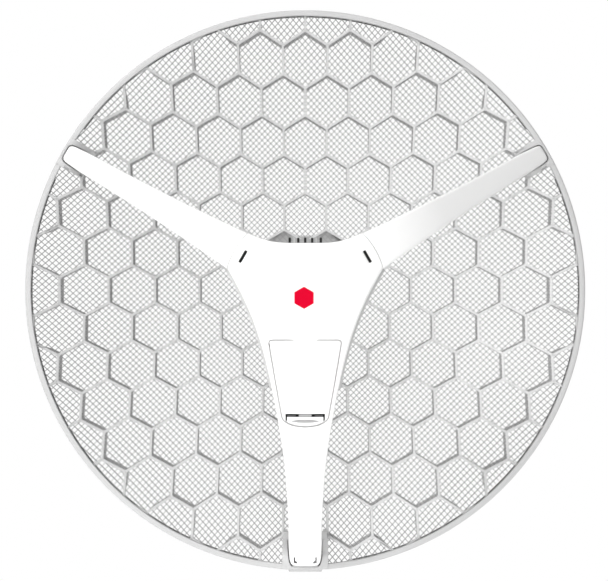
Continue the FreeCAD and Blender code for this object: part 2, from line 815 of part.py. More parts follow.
def grommet_wall():
    """Wall across the lower arm that carries the cable grommet."""
    middle = size("grommet_y")
    wall = block("grommet_slab", (-FAR, middle - 1, 100), (FAR, middle + 1, FAR))
    room = common("web_room", prism("web_outline", outline, -1), wall)
    return common("grommet_web", room, layer("web_band", "1", "sizes.cover_deep - 2.2"))


def hinge_lugs():
    """Two lugs of the cover that hold the ends of the door's hinge pin."""
    place = (size("door_axis_y"), size("door_axis_z") - 0.4)
    ends = [rod("hinge_lug", "2.2", 4, (side, *place), (1, 0, 0)) for side in (-14.4, 10.4)]
    return common("hinge_lugs", fuse("lug_rods", *ends), under_front("lug_top", "0.2"))


def cover_cuts():
    """Everything that is cut out of the front cover."""
    axis_y = size("door_axis_y")
    floor = under_front("recess_floor", "sizes.cover_wall + 0.6")
    recess = cut("door_recess", prism("recess_outline", door, size("door_gap")), floor)
    opening = prism("door_opening", door, -size("door_lip"), 150)
    knuckle = block("hinge_notch", (-10.4, -46, 221), (10.4, axis_y + 1.9, FAR))
    head = block("head_room", (-29, -44, 222.5), (29, axis_y - 1, FAR))
    start = (-15, axis_y, size("door_axis_z"))
    pin = rod("pin_hole", "sizes.pin_radius", 30, start, (1, 0, 0))
    lip_room = "sizes.grommet_lip + 0.1"
    way = (0, size("grommet_y") + 3.6, size("grommet_z"))
    bore = rod("grommet_hole", "sizes.grommet_neck + 0.1", 10, way, (0, -1, 0))
    above = (0, size("grommet_y") + 5.6, size("grommet_z"))
    below = (0, size("grommet_y") - 1.1, size("grommet_z"))
    rooms = [rod("grommet_room", lip_room, 4.5, above, (0, -1, 0))]
    rooms.append(rod("grommet_low_room", lip_room, 1.3, below, (0, -1, 0)))
    screws = [rod("screw_hole", "1.25", 24, (*place, 196)) for place in SCREW_PLACES]
    half = size("outlet_wide") / 2
    outlet = block("cable_outlet", (-half, -280, 60), (half, -266, 94.4))
    slits = []
    for x in (-size("slit_x"), size("slit_x")):
        wide = size("slit_wide") / 2
        slits.append(block("tab_slit", (x - wide, -280, 60), (x + wide, size("slit_top"), FAR)))
    slots = [snap_slot(30), snap_slot(150)]
    plain = [recess, opening, knuckle, head, pin, bore, outlet]
    return fuse("cover_cuts", *plain, *rooms, *slots, *screws, *slits)


def feed_front_cover():
    parts = [cover_shell(), door_ledge(), cover_bosses(), grommet_wall(), hinge_lugs()]
    cover = cut("feed_front_cover", fuse("cover_solid", *parts), cover_cuts())
    keep(cover, "feed_front_cover", DISH)


def upper_arm(label, angle):
    """Hollow arm with inner ribs, and a tongue with a hook that snaps into the housing."""
    band = layer(f"{label}_band", "0", "sizes.cover_deep")
    outer = common(f"{label}_outer", prism(f"{label}_outline", arm), band)
    inset = prism(f"{label}_room_outline", arm, -size("arm_wall"))
    room = common(f"{label}_room", inset, under_front(f"{label}_room_top", "sizes.arm_wall"))
    seam = rod(f"{label}_seam", "sizes.arm_start", FAR, (0, 0, 0))
    shell = cut(f"{label}_shell", outer, fuse(f"{label}_hollow", room, seam))
    half = size("tongue_half")
    root = size("arm_start")
    strip = block(f"{label}_strip", (size("tongue_start"), -half, 100), (root + 2, half, FAR))
    band = layer(f"{label}_tongue_band", "sizes.tongue_front", "sizes.tongue_back")
    tongue = common(f"{label}_tongue", strip, band)
    neck = block(f"{label}_neck_block", (root + 0.3, -half, 100), (root + 5, half, FAR))
    neck = common(f"{label}_neck", neck, layer(f"{label}_neck_band", "1", "sizes.tongue_back"))
    hook_half = size("slot_long") / 2 - 0.3
    hook_wide = size("slot_wide") / 2 - 0.25
    low = (size("slot_radius") - hook_wide, -hook_half, 200)
    high = (size("slot_radius") + hook_wide, hook_half, FAR)
    band = layer(f"{label}_hook_band", "sizes.hook_top", "sizes.tongue_front + 1")
    hook = common(f"{label}_snap", block(f"{label}_hook", low, high), band)
    ribs = []
    for x in (110, 150, 190, 230):
        end = x + size("arm_rib_thick")
        ribs.append(block(f"{label}_rib", (x, -FAR, 60), (end, FAR, FAR)))
    inset = prism(f"{label}_rib_outline", arm, -1)
    web = common(f"{label}_ribs", fuse(f"{label}_rib_set", *ribs), inset)
    band = layer(f"{label}_rib_band", "1", "sizes.cover_deep - 3")
    web = common(f"{label}_web", web, band)
    keep(fuse(label, shell, tongue, neck, hook, web), label, turned(angle))


def feed_back_cover():
    """Tub behind the housing, nearly flush at its top, with posts for the board and screws."""
    top = "sizes.cover_deep + 0.1"
    low = size("back_low")
    floor = size("back_end")
    wall = size("back_floor")
    zone = block("back_zone", (-FAR, low, floor), (FAR, FAR, FAR))
    body = prism("back_outline", outline, size("back_step"))
    body.Placement.Base += Vector(0, -size("back_drop"), 0)
    body = common("back_body", common("back_grown", body, under_front("back_top", top)), zone)
    inner_zone = block("inner_zone", (-FAR, low + wall, floor + wall), (FAR, FAR, FAR))
    throat = prism("throat_outline", outline, -size("cover_wall"))
    throat = common("back_throat", throat, inner_zone)
    belly = prism("belly_outline", outline, 0.01)
    belly.Placement.Base += Vector(0, -size("back_drop"), 0)
    flange = under_front("belly_top", f"{top} + sizes.flange_thick")
    belly = common("belly_zone", common("back_belly", belly, flange), inner_zone)
    shell = cut("back_shell", body, fuse("back_rooms", throat, belly))
    groove = cut(
        "groove_ring",
        prism("groove_outer", outline, -0.7),
        prism("groove_inner", outline, -1.9),
    )
    band = layer("groove_band", "sizes.cover_deep", "sizes.cover_deep + 1.2")
    groove = common("groove", groove, band)
    zone = block("groove_zone", (-FAR, low + 3, 150), (FAR, FAR, FAR))
    groove = common("gasket_groove", groove, zone)
    tall = board_back() - floor
    posts = [rod("board_post", "3", tall, (*place, floor)) for place in BOARD_SCREWS]
    towers = [rod("cover_post", "3.2", 60, (*place, floor)) for place in SCREW_PLACES]
    towers = common("cover_posts", fuse("tower_rods", *towers), under_front("tower_top", top))
    solid = fuse("back_solid", shell, towers, *posts)
    start = board_back() - 8.9
    holes = [rod("post_hole", "1.1", 9, (*place, start)) for place in BOARD_SCREWS]
    holes += [rod("cover_hole", "1.7", 60, (*place, floor - 1)) for place in SCREW_PLACES]
    holes += [rod("head_hole", "3", 3, (*place, floor - 1)) for place in SCREW_PLACES]
    cover = cut("feed_back_cover", solid, fuse("back_cuts", groove, *holes))
    keep(cover, "feed_back_cover", DISH)


def housing_gasket():
    outer = prism("gasket_outer", outline, -0.8)
    loop = cut("gasket_ring", outer, prism("gasket_inner", outline, -1.8))
    band = layer("gasket_layer", "sizes.cover_deep + 0.02", "sizes.cover_deep + 1.1")
    loop = common("gasket_band", loop, band)
    zone = block("gasket_zone", (-FAR, size("back_low") + 3.2, 150), (FAR, FAR, FAR))
    keep(common("housing_gasket", loop, zone), "housing_gasket", DISH)


def door_gasket():
    outer = prism("door_gasket_outer", door, -0.8)
    loop = cut("door_gasket_ring", outer, prism("door_gasket_inner", door, -2.4))
    band = layer("door_gasket_layer", "sizes.door_thick + 0.1", "sizes.cover_wall + 0.5")
    loop = common("door_gasket_band", loop, band)
    low = (-FAR, size("door_end") - 1, 150)
    zone = block("door_gasket_zone", low, (FAR, size("door_top") - 2.2, FAR))
    keep(common("door_gasket", loop, zone), "door_gasket", DISH)


def service_door():
    """Door plate with its hinge barrel and the window of the latch."""
    band = layer("door_band", "0", "sizes.door_thick")
    plate = common("door_plate", prism("door_prism", door), band)
    axis_y = size("door_axis_y")
    axis_z = size("door_axis_z")
    half = size("hinge_half")
    start = (-half, axis_y, axis_z)
    barrel = rod("door_barrel", "sizes.hinge_radius", 2 * half, start, (1, 0, 0))
    low = (-half, size("door_top") - 1, axis_z - 1.2)
    web = block("door_web", low, (half, axis_y, axis_z + 0.4))
    wide = size("latch_half") + size("latch_gap")
    high = (wide, size("latch_window_top"), FAR)
    window = block("latch_window", (-wide, size("door_end") - 5, 150), high)
    solid = cut("door_solid", fuse("door_fused", plate, barrel, web), window)
    play = "sizes.pin_radius + sizes.pin_play"
    bore = rod("door_bore", play, 30, (-15, axis_y, axis_z), (1, 0, 0))
    reach = wide + 1.3
    start = (-reach, size("latch_axis_y"), size("latch_axis_z"))
    seat = rod("latch_seat", play, 2 * reach, start, (1, 0, 0))
    keep(cut("service_door", solid, fuse("door_bores", bore, seat)), "service_door", DISH)


def door_latch():
    """Rocker in the door's lower edge: a thumb tab above its pin, the catch edge below."""
    half = size("latch_half")
    shape = prism("latch_outline", door, -size("latch_inset"))
    tile = block("latch_tile", (-half, size("door_end") - 5, 150), (half, size("latch_top"), FAR))
    band = layer("latch_band", "0.1", "0.1 + sizes.latch_thick")
    plate = common("latch_plate", common("latch_plan", shape, tile), band)
    tab_half = size("latch_tab_half")
    low = (-tab_half, size("latch_top") - 1, 150)
    tab = block("latch_tab_block", low, (tab_half, size("latch_tab_top"), FAR))
    band = layer("latch_tab_band", "0.9", "0.1 + sizes.latch_thick")
    tab = common("latch_tab", tab, band)
    reach = half + size("latch_gap") + 1
    start = (-reach, size("latch_axis_y"), size("latch_axis_z"))
    pin = rod("latch_pin", "sizes.pin_radius", 2 * reach, start, (1, 0, 0))
    keep(fuse("door_latch", plate, tab, pin), "door_latch", DISH)


def door_hinge_pin():
    axis = Vector(0, size("door_axis_y"), size("door_axis_z"))
    body = new_body("door_hinge_pin", Placement(DISH.multVec(axis), Rotation()))
    profile = new_sketch(body, "YZ_Plane")
    ring(profile, "sizes.pin_radius - 0.01")
    pad(body, profile, "2 * sizes.pin_half", midplane=True)


def lower_arm_cover():
    inset = prism("lid_outline", outline, -size("cover_wall") - 0.3)
    plan = common("lid_plan", inset, block("lid_zone", (-FAR, -262, 60), (FAR, -89, FAR)))
    band = layer("lid_band", "sizes.cover_deep - sizes.lid_thick", "sizes.cover_deep")
    keep(common("lower_arm_cover", plan, band), "lower_arm_cover", DISH)


def cable_grommet():
    place = Vector(0, size("grommet_y"), size("grommet_z"))
    place = DISH.multiply(Placement(place, Rotation(Vector(1, 0, 0), 90)))
    body = new_body("cable_grommet", place)
    profile = new_sketch(body, "XZ_Plane")
    neck = size("grommet_neck")
    lip = size("grommet_lip")
    points = [(2.7, -2.2), (lip, -2.2), (lip, -1.1), (neck, -1.1), (neck, 1.1)]
    points += [(lip, 1.1), (lip, 2.2), (2.7, 2.2)]
    polygon(profile, points)
    spin(body, profile)


# ---- electronics -------------------------------------------------------------------------

BOARD_SCREWS = [(-29, 20), (29, 20), (-29, -25), (29, -25)]


def board_back():
    return size("board_front") - size("board_thick")


def main_board():
    body = new_body("main_board", DISH)
    sheet_outline = new_sketch(body, lift="sizes.board_front - sizes.board_thick")
    half = [(33, 26), (33, -32), (19.4, -44), (19.4, -76)]
    polygon(sheet_outline, half + [(-x, y) for x, y in reversed(half)])
    pad(body, sheet_outline, "sizes.board_thick")
    holes = new_sketch(body, lift="sizes.board_front")
    for x, y in BOARD_SCREWS:
        ring(holes, "1.4", str(x), str(y))
    pocket(body, holes, "sizes.board_thick + 1")


def boxed(label, wide, high, length, x="0", y="0", lift="sizes.board_front"):
    """Body with one rectangular pad standing on a plane of the board."""
    body = new_body(label, DISH)
    base = new_sketch(body, lift=lift)
    rectangle(base, wide, high, x, y)
    pad(body, base, length)
    return body


def ethernet_jack():
    wide = "sizes.jack_wide"
    long = "sizes.jack_long"
    body = boxed("ethernet_jack", wide, long, "sizes.jack_high", "0", "sizes.jack_y")
    mouth = new_sketch(body, "XZ_Plane", "-sizes.jack_y + sizes.jack_long / 2")
    rectangle(mouth, "sizes.port_wide", "sizes.port_high", "0", "sizes.board_front + 6.2")
    pocket(body, mouth, "sizes.port_deep")


def rf_shield():
    wide = "sizes.shield_wide"
    body = boxed("rf_shield", wide, "sizes.shield_long", "sizes.shield_high", "0", "-12")
    inside = new_sketch(body, lift="sizes.board_front")
    wide = "sizes.shield_wide - 2 * sizes.shield_wall"
    rectangle(inside, wide, "sizes.shield_long - 2 * sizes.shield_wall", "0", "-12")
    pocket(body, inside, "sizes.shield_high - sizes.shield_wall", reverse=True)


def feed_patch():
    lift = "sizes.board_front - sizes.board_thick - sizes.patch_gap - sizes.patch_thick"
    boxed("feed_patch", "sizes.patch_side", "sizes.patch_side", "sizes.patch_thick", lift=lift)
    gap = size("patch_gap")
    spacers = []
    for x in (-9, 9):
        for y in (-9, 9):
            spacers.append(rod("spacer", "1.5", gap, (x, y, board_back() - gap)))
    gather(spacers, "feed_spacers")


def reset_switch():
    side = "sizes.switch_side"
    x = "sizes.switch_x"
    body = boxed("reset_switch_body", side, side, "sizes.switch_high", x, "sizes.switch_y")
    bore = new_sketch(body, lift="sizes.board_front + sizes.switch_high")
    ring(bore, "sizes.plunger_radius + 0.06", "sizes.switch_x", "sizes.switch_y")
    pocket(body, bore, "1.9")
    place = Vector(size("switch_x"), size("switch_y"), size("board_front"))
    button = new_body("reset_button", DISH.multiply(Placement(place, Rotation())))
    profile = new_sketch(button, "XZ_Plane")
    radius = size("plunger_radius")
    points = [(0, 2.2), (radius, 2.2), (radius, 4.2), (2.4, 4.2)]
    points += [(2.4, 6.2), (2, 6.6), (0, 6.6)]
    polygon(profile, points)
    spin(button, profile)


def status_leds():
    solids = []
    comb = [block("guide_bar", (-18.6, -73, 204.2), (-12.6, -56, 205.6))]
    for index in range(5):
        y = -71 + 3.4 * index
        solids.append(block("led", (-16.4, y - 0.5, 201), (-14.8, y + 0.5, 201.8)))
        comb.append(rod("guide_tooth", "1", 8.4, (-15.6, y, 202.1)))
    gather(solids, "status_leds")
    comb.append(block("guide_foot", (-18.6, -73, 201), (-17.2, -56, 205)))
    keep(fuse("light_guide", *comb), "light_guide", DISH)


def small_screws():
    """Pan head screws: shank and head turned as one piece."""
    solids = []
    for x, y in BOARD_SCREWS:
        shank = rod("board_shank", "1.05", 8, (x, y, size("board_front") - 7.9))
        head = rod("board_head", "2.3", 1.4, (x, y, size("board_front")))
        solids.append(fuse("board_screw", shank, head))
    gather(solids, "board_screws")
    solids = []
    for x, y in SCREW_PLACES:
        floor = size("back_end")
        shank = rod("cover_shank", "1.2", 30, (x, y, floor + 1.2))
        head = rod("cover_head", "2.8", 1.4, (x, y, floor + 0.5))
        solids.append(fuse("cover_screw", shank, head))
    gather(solids, "cover_screws")


# ---- mast mount --------------------------------------------------------------------------


def mast_bracket():
    body = new_body("mast_bracket")
    saddle = new_sketch(body)
    deep = "sizes.saddle_front - sizes.saddle_back"
    middle = "-(sizes.saddle_front + sizes.saddle_back) / 2"
    rectangle(saddle, "2 * sizes.saddle_half", deep, "0", middle)
    pad(body, saddle, "sizes.saddle_tall", midplane=True)
    tongue = new_sketch(body, "YZ_Plane")
    pivot = -size("pivot_y")
    drop = size("lock_drop")
    face = -size("saddle_front") + 1
    tongue.addGeometry(line((face, 11), (pivot, 9)), False)
    tongue.addGeometry(arc((pivot, 0), 9, 90, 180), False)
    tongue.addGeometry(line((pivot - 9, 0), (pivot - 8, -drop)), False)
    tongue.addGeometry(arc((pivot, -drop), 8, 180, 270), False)
    tongue.addGeometry(line((pivot, -drop - 8), (face, -drop - 14)), False)
    tongue.addGeometry(line((face, -drop - 14), (face, 11)), False)
    pad(body, tongue, "sizes.tongue_wide", midplane=True)
    mast = new_sketch(body)
    ring(mast, "sizes.mast_radius")
    pocket(body, mast, "sizes.saddle_tall + 2", midplane=True)
    bolts = new_sketch(body, "YZ_Plane")
    ring(bolts, "sizes.pivot_bolt_radius + sizes.bolt_play", "-sizes.pivot_y", "0")
    ring(bolts, "sizes.lock_bolt_radius + sizes.bolt_play", "-sizes.pivot_y", "-sizes.lock_drop")
    pocket(body, bolts, "60", midplane=True)
    slots = new_sketch(body, "YZ_Plane")
    for side in ("-sizes.band_z", "sizes.band_z"):
        rectangle(slots, "sizes.band_slot_deep", "sizes.band_slot_tall", "-sizes.band_reach", side)
    pocket(body, slots, "60", midplane=True)


def hub_bracket():
    """Plate on the hub's back with two ears; it tilts with the dish."""
    body = new_body("hub_bracket")
    back = size("vertex_back") - size("hub_back")
    plate = new_sketch(body, "XZ_Plane", f"{back} - sizes.plate_thick")
    rectangle(plate, "2 * sizes.plate_half", "2 * sizes.plate_half")
    pad(body, plate, "sizes.plate_thick")
    ears = new_sketch(body, "YZ_Plane")
    pivot = -size("pivot_y")
    radius = size("ear_radius")
    root = -back + 2
    ears.addGeometry(arc((pivot, 0), radius, -90, 90), False)
    ears.addGeometry(line((pivot, radius), (root, radius + 6)), False)
    ears.addGeometry(line((root, radius + 6), (root, -radius - 6)), False)
    ears.addGeometry(line((root, -radius - 6), (pivot, -radius)), False)
    pad(body, ears, "2 * (sizes.ear_gap + sizes.ear_thick)", midplane=True)
    gap = new_sketch(body, "YZ_Plane")
    front = -back + size("plate_thick")
    polygon(gap, [(front, -60), (0, -60), (0, 60), (front, 60)])
    pocket(body, gap, "2 * sizes.ear_gap", midplane=True)
    pivots = new_sketch(body, "YZ_Plane")
    ring(pivots, "sizes.pivot_bolt_radius + sizes.bolt_play", "-sizes.pivot_y", "0")
    arc_slot(pivots, (pivot, 0), size("lock_drop"), size("lock_bolt_radius") + 0.2)
    pocket(body, pivots, "80", midplane=True)
    screws = new_sketch(body, "XZ_Plane", "sizes.vertex_back")
    for across in ("-sizes.hub_screw_x", "sizes.hub_screw_x"):
        for up in ("-sizes.hub_screw_y", "sizes.hub_screw_y"):
            ring(screws, "sizes.hub_hole_radius + 0.25", across, up)
    pocket(body, screws, "30")


def arc_slot(sketch, centre, radius, half):
    """Curved slot below a centre, long enough for the tilt each way."""
    reach = size("tilt_limit") + 1
    first = math.radians(270 - reach)
    last = math.radians(270 + reach)
    ends = []
    for angle in (first, last):
        ends.append((centre[0] + radius * math.cos(angle), centre[1] + radius * math.sin(angle)))
    sketch.addGeometry(arc(centre, radius + half, 270 - reach, 270 + reach), False)
    sketch.addGeometry(arc(centre, radius - half, 270 - reach, 270 + reach), False)
    sketch.addGeometry(arc(ends[0], half, 90 - reach, 270 - reach), False)
    sketch.addGeometry(arc(ends[1], half, 270 + reach, 450 + reach), False)


def bolt_set(name, drop, radius_alias, flats, washer_radius):
    """Hexagon bolt across the ears with two washers and a nut."""
    outer = size("ear_gap") + size("ear_thick")
    corners = flats * 2 / math.sqrt(3)
    radius = f"sizes.{radius_alias}"
    head = size(radius_alias) * 1.3
    washer = 1.5
    seat = outer + washer + 0.1
    place = Placement(Vector(0, -size("pivot_y"), -drop), Rotation())
    bolt = new_body(f"{name}_bolt", place)
    heads = new_sketch(bolt, "YZ_Plane", f"-{seat} - {head}")
    polygon(heads, hexagon_points(corners))
    pad(bolt, heads, str(head))
    shank = new_sketch(bolt, "YZ_Plane", f"-{seat}")
    ring(shank, radius)
    pad(bolt, shank, f"2 * {seat} + {head} + 3")
    nut = new_body(f"{name}_nut", place)
    nuts = new_sketch(nut, "YZ_Plane", str(seat))
    polygon(nuts, hexagon_points(corners))
    pad(nut, nuts, str(head))
    hole = new_sketch(nut, "YZ_Plane", str(seat))
    ring(hole, f"{radius} + 0.02")
    pocket(nut, hole, str(head + 1), reverse=True)
    washers = []
    for side in (-seat + 0.05, outer + 0.05):
        disc = rod("washer_disc", str(washer_radius), washer, (side, 0, 0), (1, 0, 0))
        bore = rod("washer_bore", f"{radius} + 0.2", washer, (side, 0, 0), (1, 0, 0))
        washers.append(cut("washer", disc, bore))
    gather(washers, f"{name}_washers", place)


def hub_screws():
    """Four hexagon flange screws from the bracket's plate into the hub's bosses."""
    face = size("vertex_back") - size("hub_back") - size("plate_thick")
    solids = []
    for x in (-size("hub_screw_x"), size("hub_screw_x")):
        for z in (-size("hub_screw_y"), size("hub_screw_y")):
            shank = rod("hub_shank", "sizes.hub_hole_radius - 0.05", 11, (x, -face, z), (0, -1, 0))
            flange = rod("hub_flange", "5", 1, (x, -face + 1, z), (0, -1, 0))
            head = rod("hub_head", "3.6", 4, (x, -face + 4.5, z), (0, -1, 0))
            solids.append(fuse("hub_screw", shank, flange, head))
    gather(solids, "hub_screws", IDENTITY)


def band_loop(sketch, radius, reach, corner):
    """Loop round the back of the mast and across the bracket at a reach in front."""
    side = -reach + corner
    sketch.addGeometry(arc((0, 0), radius, 0, 180), False)
    sketch.addGeometry(line((-radius, 0), (-radius, side)), False)
    sketch.addGeometry(arc((-radius + corner, side), corner, 180, 270), False)
    sketch.addGeometry(line((-radius + corner, -reach), (radius - corner, -reach)), False)
    sketch.addGeometry(arc((radius - corner, side), corner, 270, 360), False)
    sketch.addGeometry(line((radius, side), (radius, 0)), False)


def band_clamp(prefix, height):
    """Steel band, worm housing and worm screw at one height of the mast."""
    place = Placement(Vector(0, 0, height), Rotation())
    band = new_body(f"{prefix}_band", place)
    inner = size("mast_radius") + 0.05
    thick = size("band_thick")
    reach = size("band_reach")
    outside = new_sketch(band)
    band_loop(outside, inner + thick, reach + thick / 2, 3.4 + thick)
    pad(band, outside, "sizes.band_wide", midplane=True)
    inside = new_sketch(band)
    band_loop(inside, inner, reach - thick / 2, 3.4)
    pocket(band, inside, "sizes.band_wide + 2", midplane=True)
    face = inner + thick + 0.05
    axis = face + 5.2
    housing = new_body(f"{prefix}_worm_housing", place)
    base = new_sketch(housing)
    rectangle(base, "2 * sizes.worm_x_half", "sizes.worm_deep", "0", f"{face} + sizes.worm_deep / 2")
    pad(housing, base, "sizes.worm_tall", midplane=True)
    bore = new_sketch(housing, "YZ_Plane")
    ring(bore, "sizes.worm_radius + 0.07", str(axis))
    pocket(housing, bore, "40", midplane=True)
    screw = new_body(f"{prefix}_worm_screw", place.multiply(Placement(Vector(0, axis, 0), Rotation())))
    profile = new_sketch(screw, "XZ_Plane")
    radius = size("worm_radius")
    half = size("worm_x_half")
    collar = half + 0.2
    points = [(-collar - 1.2, 0), (collar + 6.2, 0), (collar + 6.2, 3.9), (collar + 5.6, 4.5)]
    points += [(collar, 4.5), (collar, radius), (-collar, radius)]
    points += [(-collar, 4.4), (-collar - 1.2, 4.4)]
    polygon(profile, points)
    spin(screw, profile, axis="H_Axis")
    slot = new_sketch(screw, "YZ_Plane", f"{collar} + 6.3")
    rectangle(slot, "1.2", "12")
    pocket(screw, slot, "1.8")


# ---- build -------------------------------------------------------------------------------

outline = housing_outline()
door = door_outline()
arm = arm_outline()

reflector_frame()
reflector_mesh()
feed_front_cover()
upper_arm("upper_right_arm", 30)
upper_arm("upper_left_arm", 150)
feed_back_cover()
housing_gasket()
door_gasket()
service_door()
door_latch()
door_hinge_pin()
lower_arm_cover()
cable_grommet()
main_board()
ethernet_jack()
rf_shield()
feed_patch()
reset_switch()
status_leds()
small_screws()
mast_bracket()
hub_bracket()
hub_screws()
bolt_set("tilt", 0, "pivot_bolt_radius", 13, 8)
bolt_set("lock", size("lock_drop"), "lock_bolt_radius", 8, 4.9)
band_clamp("upper", size("band_z"))
band_clamp("lower", -size("band_z"))

doc.recompute()

for feature in doc.Objects:
    if {"Invalid", "Error"} & set(feature.State):
        raise RuntimeError(f"{feature.Label} failed: {feature.State}")

os.makedirs("parts", exist_ok=True)
for feature in sub_parts:
    shape = feature.Shape
    if shape.isNull() or not shape.isValid():
        raise RuntimeError(f"{feature.Label} has no valid shape")
    shape.exportStep(f"parts/{feature.Label}.step")
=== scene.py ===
"""Looks of the parabolic grid antenna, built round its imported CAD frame.

Row frame, metres: the mast axis is +Z, the dish looks along -Y. Pieces of the dish are drawn in
the dish frame in millimetres (x right, y up, z forward from the vertex) and placed by in_row().
"""

import json
import math

import bmesh
import bpy
import numpy as np
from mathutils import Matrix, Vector
from mathutils.geometry import delaunay_2d_cdt


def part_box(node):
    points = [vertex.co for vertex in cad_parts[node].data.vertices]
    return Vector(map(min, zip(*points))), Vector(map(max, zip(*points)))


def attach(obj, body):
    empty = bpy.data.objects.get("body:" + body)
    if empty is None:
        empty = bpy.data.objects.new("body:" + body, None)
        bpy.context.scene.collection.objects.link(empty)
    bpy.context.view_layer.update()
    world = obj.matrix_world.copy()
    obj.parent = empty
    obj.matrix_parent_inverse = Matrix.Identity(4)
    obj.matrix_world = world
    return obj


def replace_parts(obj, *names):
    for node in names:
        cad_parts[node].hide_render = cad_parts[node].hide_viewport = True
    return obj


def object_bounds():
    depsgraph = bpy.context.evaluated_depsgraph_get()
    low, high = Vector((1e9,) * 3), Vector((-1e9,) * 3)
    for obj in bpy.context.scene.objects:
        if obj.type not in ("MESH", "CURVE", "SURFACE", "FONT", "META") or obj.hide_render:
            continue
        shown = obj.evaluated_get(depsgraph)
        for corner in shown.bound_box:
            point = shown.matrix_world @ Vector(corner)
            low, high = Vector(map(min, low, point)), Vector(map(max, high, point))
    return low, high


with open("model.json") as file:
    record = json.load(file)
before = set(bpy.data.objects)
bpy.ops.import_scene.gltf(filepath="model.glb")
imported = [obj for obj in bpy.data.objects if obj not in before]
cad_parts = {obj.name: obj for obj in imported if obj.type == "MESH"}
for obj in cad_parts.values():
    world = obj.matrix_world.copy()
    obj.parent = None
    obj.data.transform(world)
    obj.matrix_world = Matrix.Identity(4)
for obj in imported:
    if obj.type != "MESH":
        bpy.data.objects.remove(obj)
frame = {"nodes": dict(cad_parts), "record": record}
cad_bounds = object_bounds()

MM = 0.001

# ---- driving sizes, all in millimetres -----------------------------------------------------

REACH = -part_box("feed_front_cover")[0].y / MM  # the nose, in front of the mast's axis
NOSE = 228.0  # the nose, over the vertex
VERTEX = REACH - NOSE  # the vertex, in front of the mast's axis
FOCAL = 205.0
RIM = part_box("reflector_frame")[1].x / MM  # outer radius


def in_row(x, y, z):
    """Dish frame in millimetres to row frame in metres."""
    return Vector((x * MM, -(VERTEX + z) * MM, y * MM))


# ---- materials -----------------------------------------------------------------------------

PLAIN = (1, 1, 1)
GRAIN_DEPTH = 0.0002


def new_material(name):
    """Node material, with the parts of its node tree that the looks are built on."""
    material = bpy.data.materials.new(name)
    material.use_nodes = True
    nodes = material.node_tree.nodes
    return material, nodes, material.node_tree.links, nodes["Principled BSDF"]


def noise(nodes, links, scale, detail=3.0, roughness=0.5):
    """Noise texture in the object's own space."""
    coordinates = nodes.new("ShaderNodeTexCoord")
    texture = nodes.new("ShaderNodeTexNoise")
    texture.inputs["Scale"].default_value = scale
    texture.inputs["Detail"].default_value = detail
    texture.inputs["Roughness"].default_value = roughness
    links.new(coordinates.outputs["Object"], texture.inputs["Vector"])
    return texture


def ramp(nodes, links, source, low, high, start=0.3, end=0.7):
    """Colour or value between two ends, driven by a texture."""
    band = nodes.new("ShaderNodeValToRGB")
    band.color_ramp.elements[0].position = start
    band.color_ramp.elements[1].position = end
    band.color_ramp.elements[0].color = low
    band.color_ramp.elements[1].color = high
    links.new(source, band.inputs["Fac"])
    return band.outputs["Color"]


def grey(value, tint=PLAIN):
    return (value * tint[0], value * tint[1], value * tint[2], 1)


def moulded(name, base, spread, rough, grain, bump, tint=PLAIN, metallic=0.0, coat=0.0, shine=0.5):
    """Moulded or cast surface: slow clouds in colour, fine grain in roughness and bump."""
    material, nodes, links, shader = new_material(name)
    cloudy = noise(nodes, links, scale=9.0, detail=4.0)
    colour = ramp(nodes, links, cloudy.outputs["Fac"], grey(base - spread, tint), grey(base + spread, tint))
    links.new(colour, shader.inputs["Base Color"])
    fine = noise(nodes, links, grain, detail=2.0)
    gloss = ramp(nodes, links, fine.outputs["Fac"], grey(rough - 0.05), grey(rough + 0.05))
    links.new(gloss, shader.inputs["Roughness"])
    relief = nodes.new("ShaderNodeBump")
    relief.inputs["Strength"].default_value = bump
    relief.inputs["Distance"].default_value = GRAIN_DEPTH
    links.new(fine.outputs["Fac"], relief.inputs["Height"])
    links.new(relief.outputs["Normal"], shader.inputs["Normal"])
    shader.inputs["Metallic"].default_value = metallic
    shader.inputs["Specular IOR Level"].default_value = shine
    if coat:
        shader.inputs["Coat Weight"].default_value = coat
        shader.inputs["Coat Roughness"].default_value = 0.15
    return material


def brushed(name, base, rough, tint=PLAIN):
    """Plated metal: streaked roughness, slight colour clouding."""
    material, nodes, links, shader = new_material(name)
    coordinates = nodes.new("ShaderNodeTexCoord")
    mapping = nodes.new("ShaderNodeMapping")
    mapping.inputs["Scale"].default_value = (1, 1, 30)
    streaks = nodes.new("ShaderNodeTexNoise")
    streaks.inputs["Scale"].default_value = 160
    links.new(coordinates.outputs["Object"], mapping.inputs["Vector"])
    links.new(mapping.outputs["Vector"], streaks.inputs["Vector"])
    cloudy = noise(nodes, links, scale=60.0)
    colour = ramp(nodes, links, cloudy.outputs["Fac"], grey(base * 0.9, tint), grey(base * 1.05, tint))
    links.new(colour, shader.inputs["Base Color"])
    gloss = ramp(nodes, links, streaks.outputs["Fac"], grey(rough - 0.07), grey(rough + 0.07))
    links.new(gloss, shader.inputs["Roughness"])
    shader.inputs["Metallic"].default_value = 1.0
    return material


GREEN = (0.25, 1.0, 0.45)
RED = (0.6, 0.003, 0.025)
BRASS = (1.1, 0.85, 0.45)

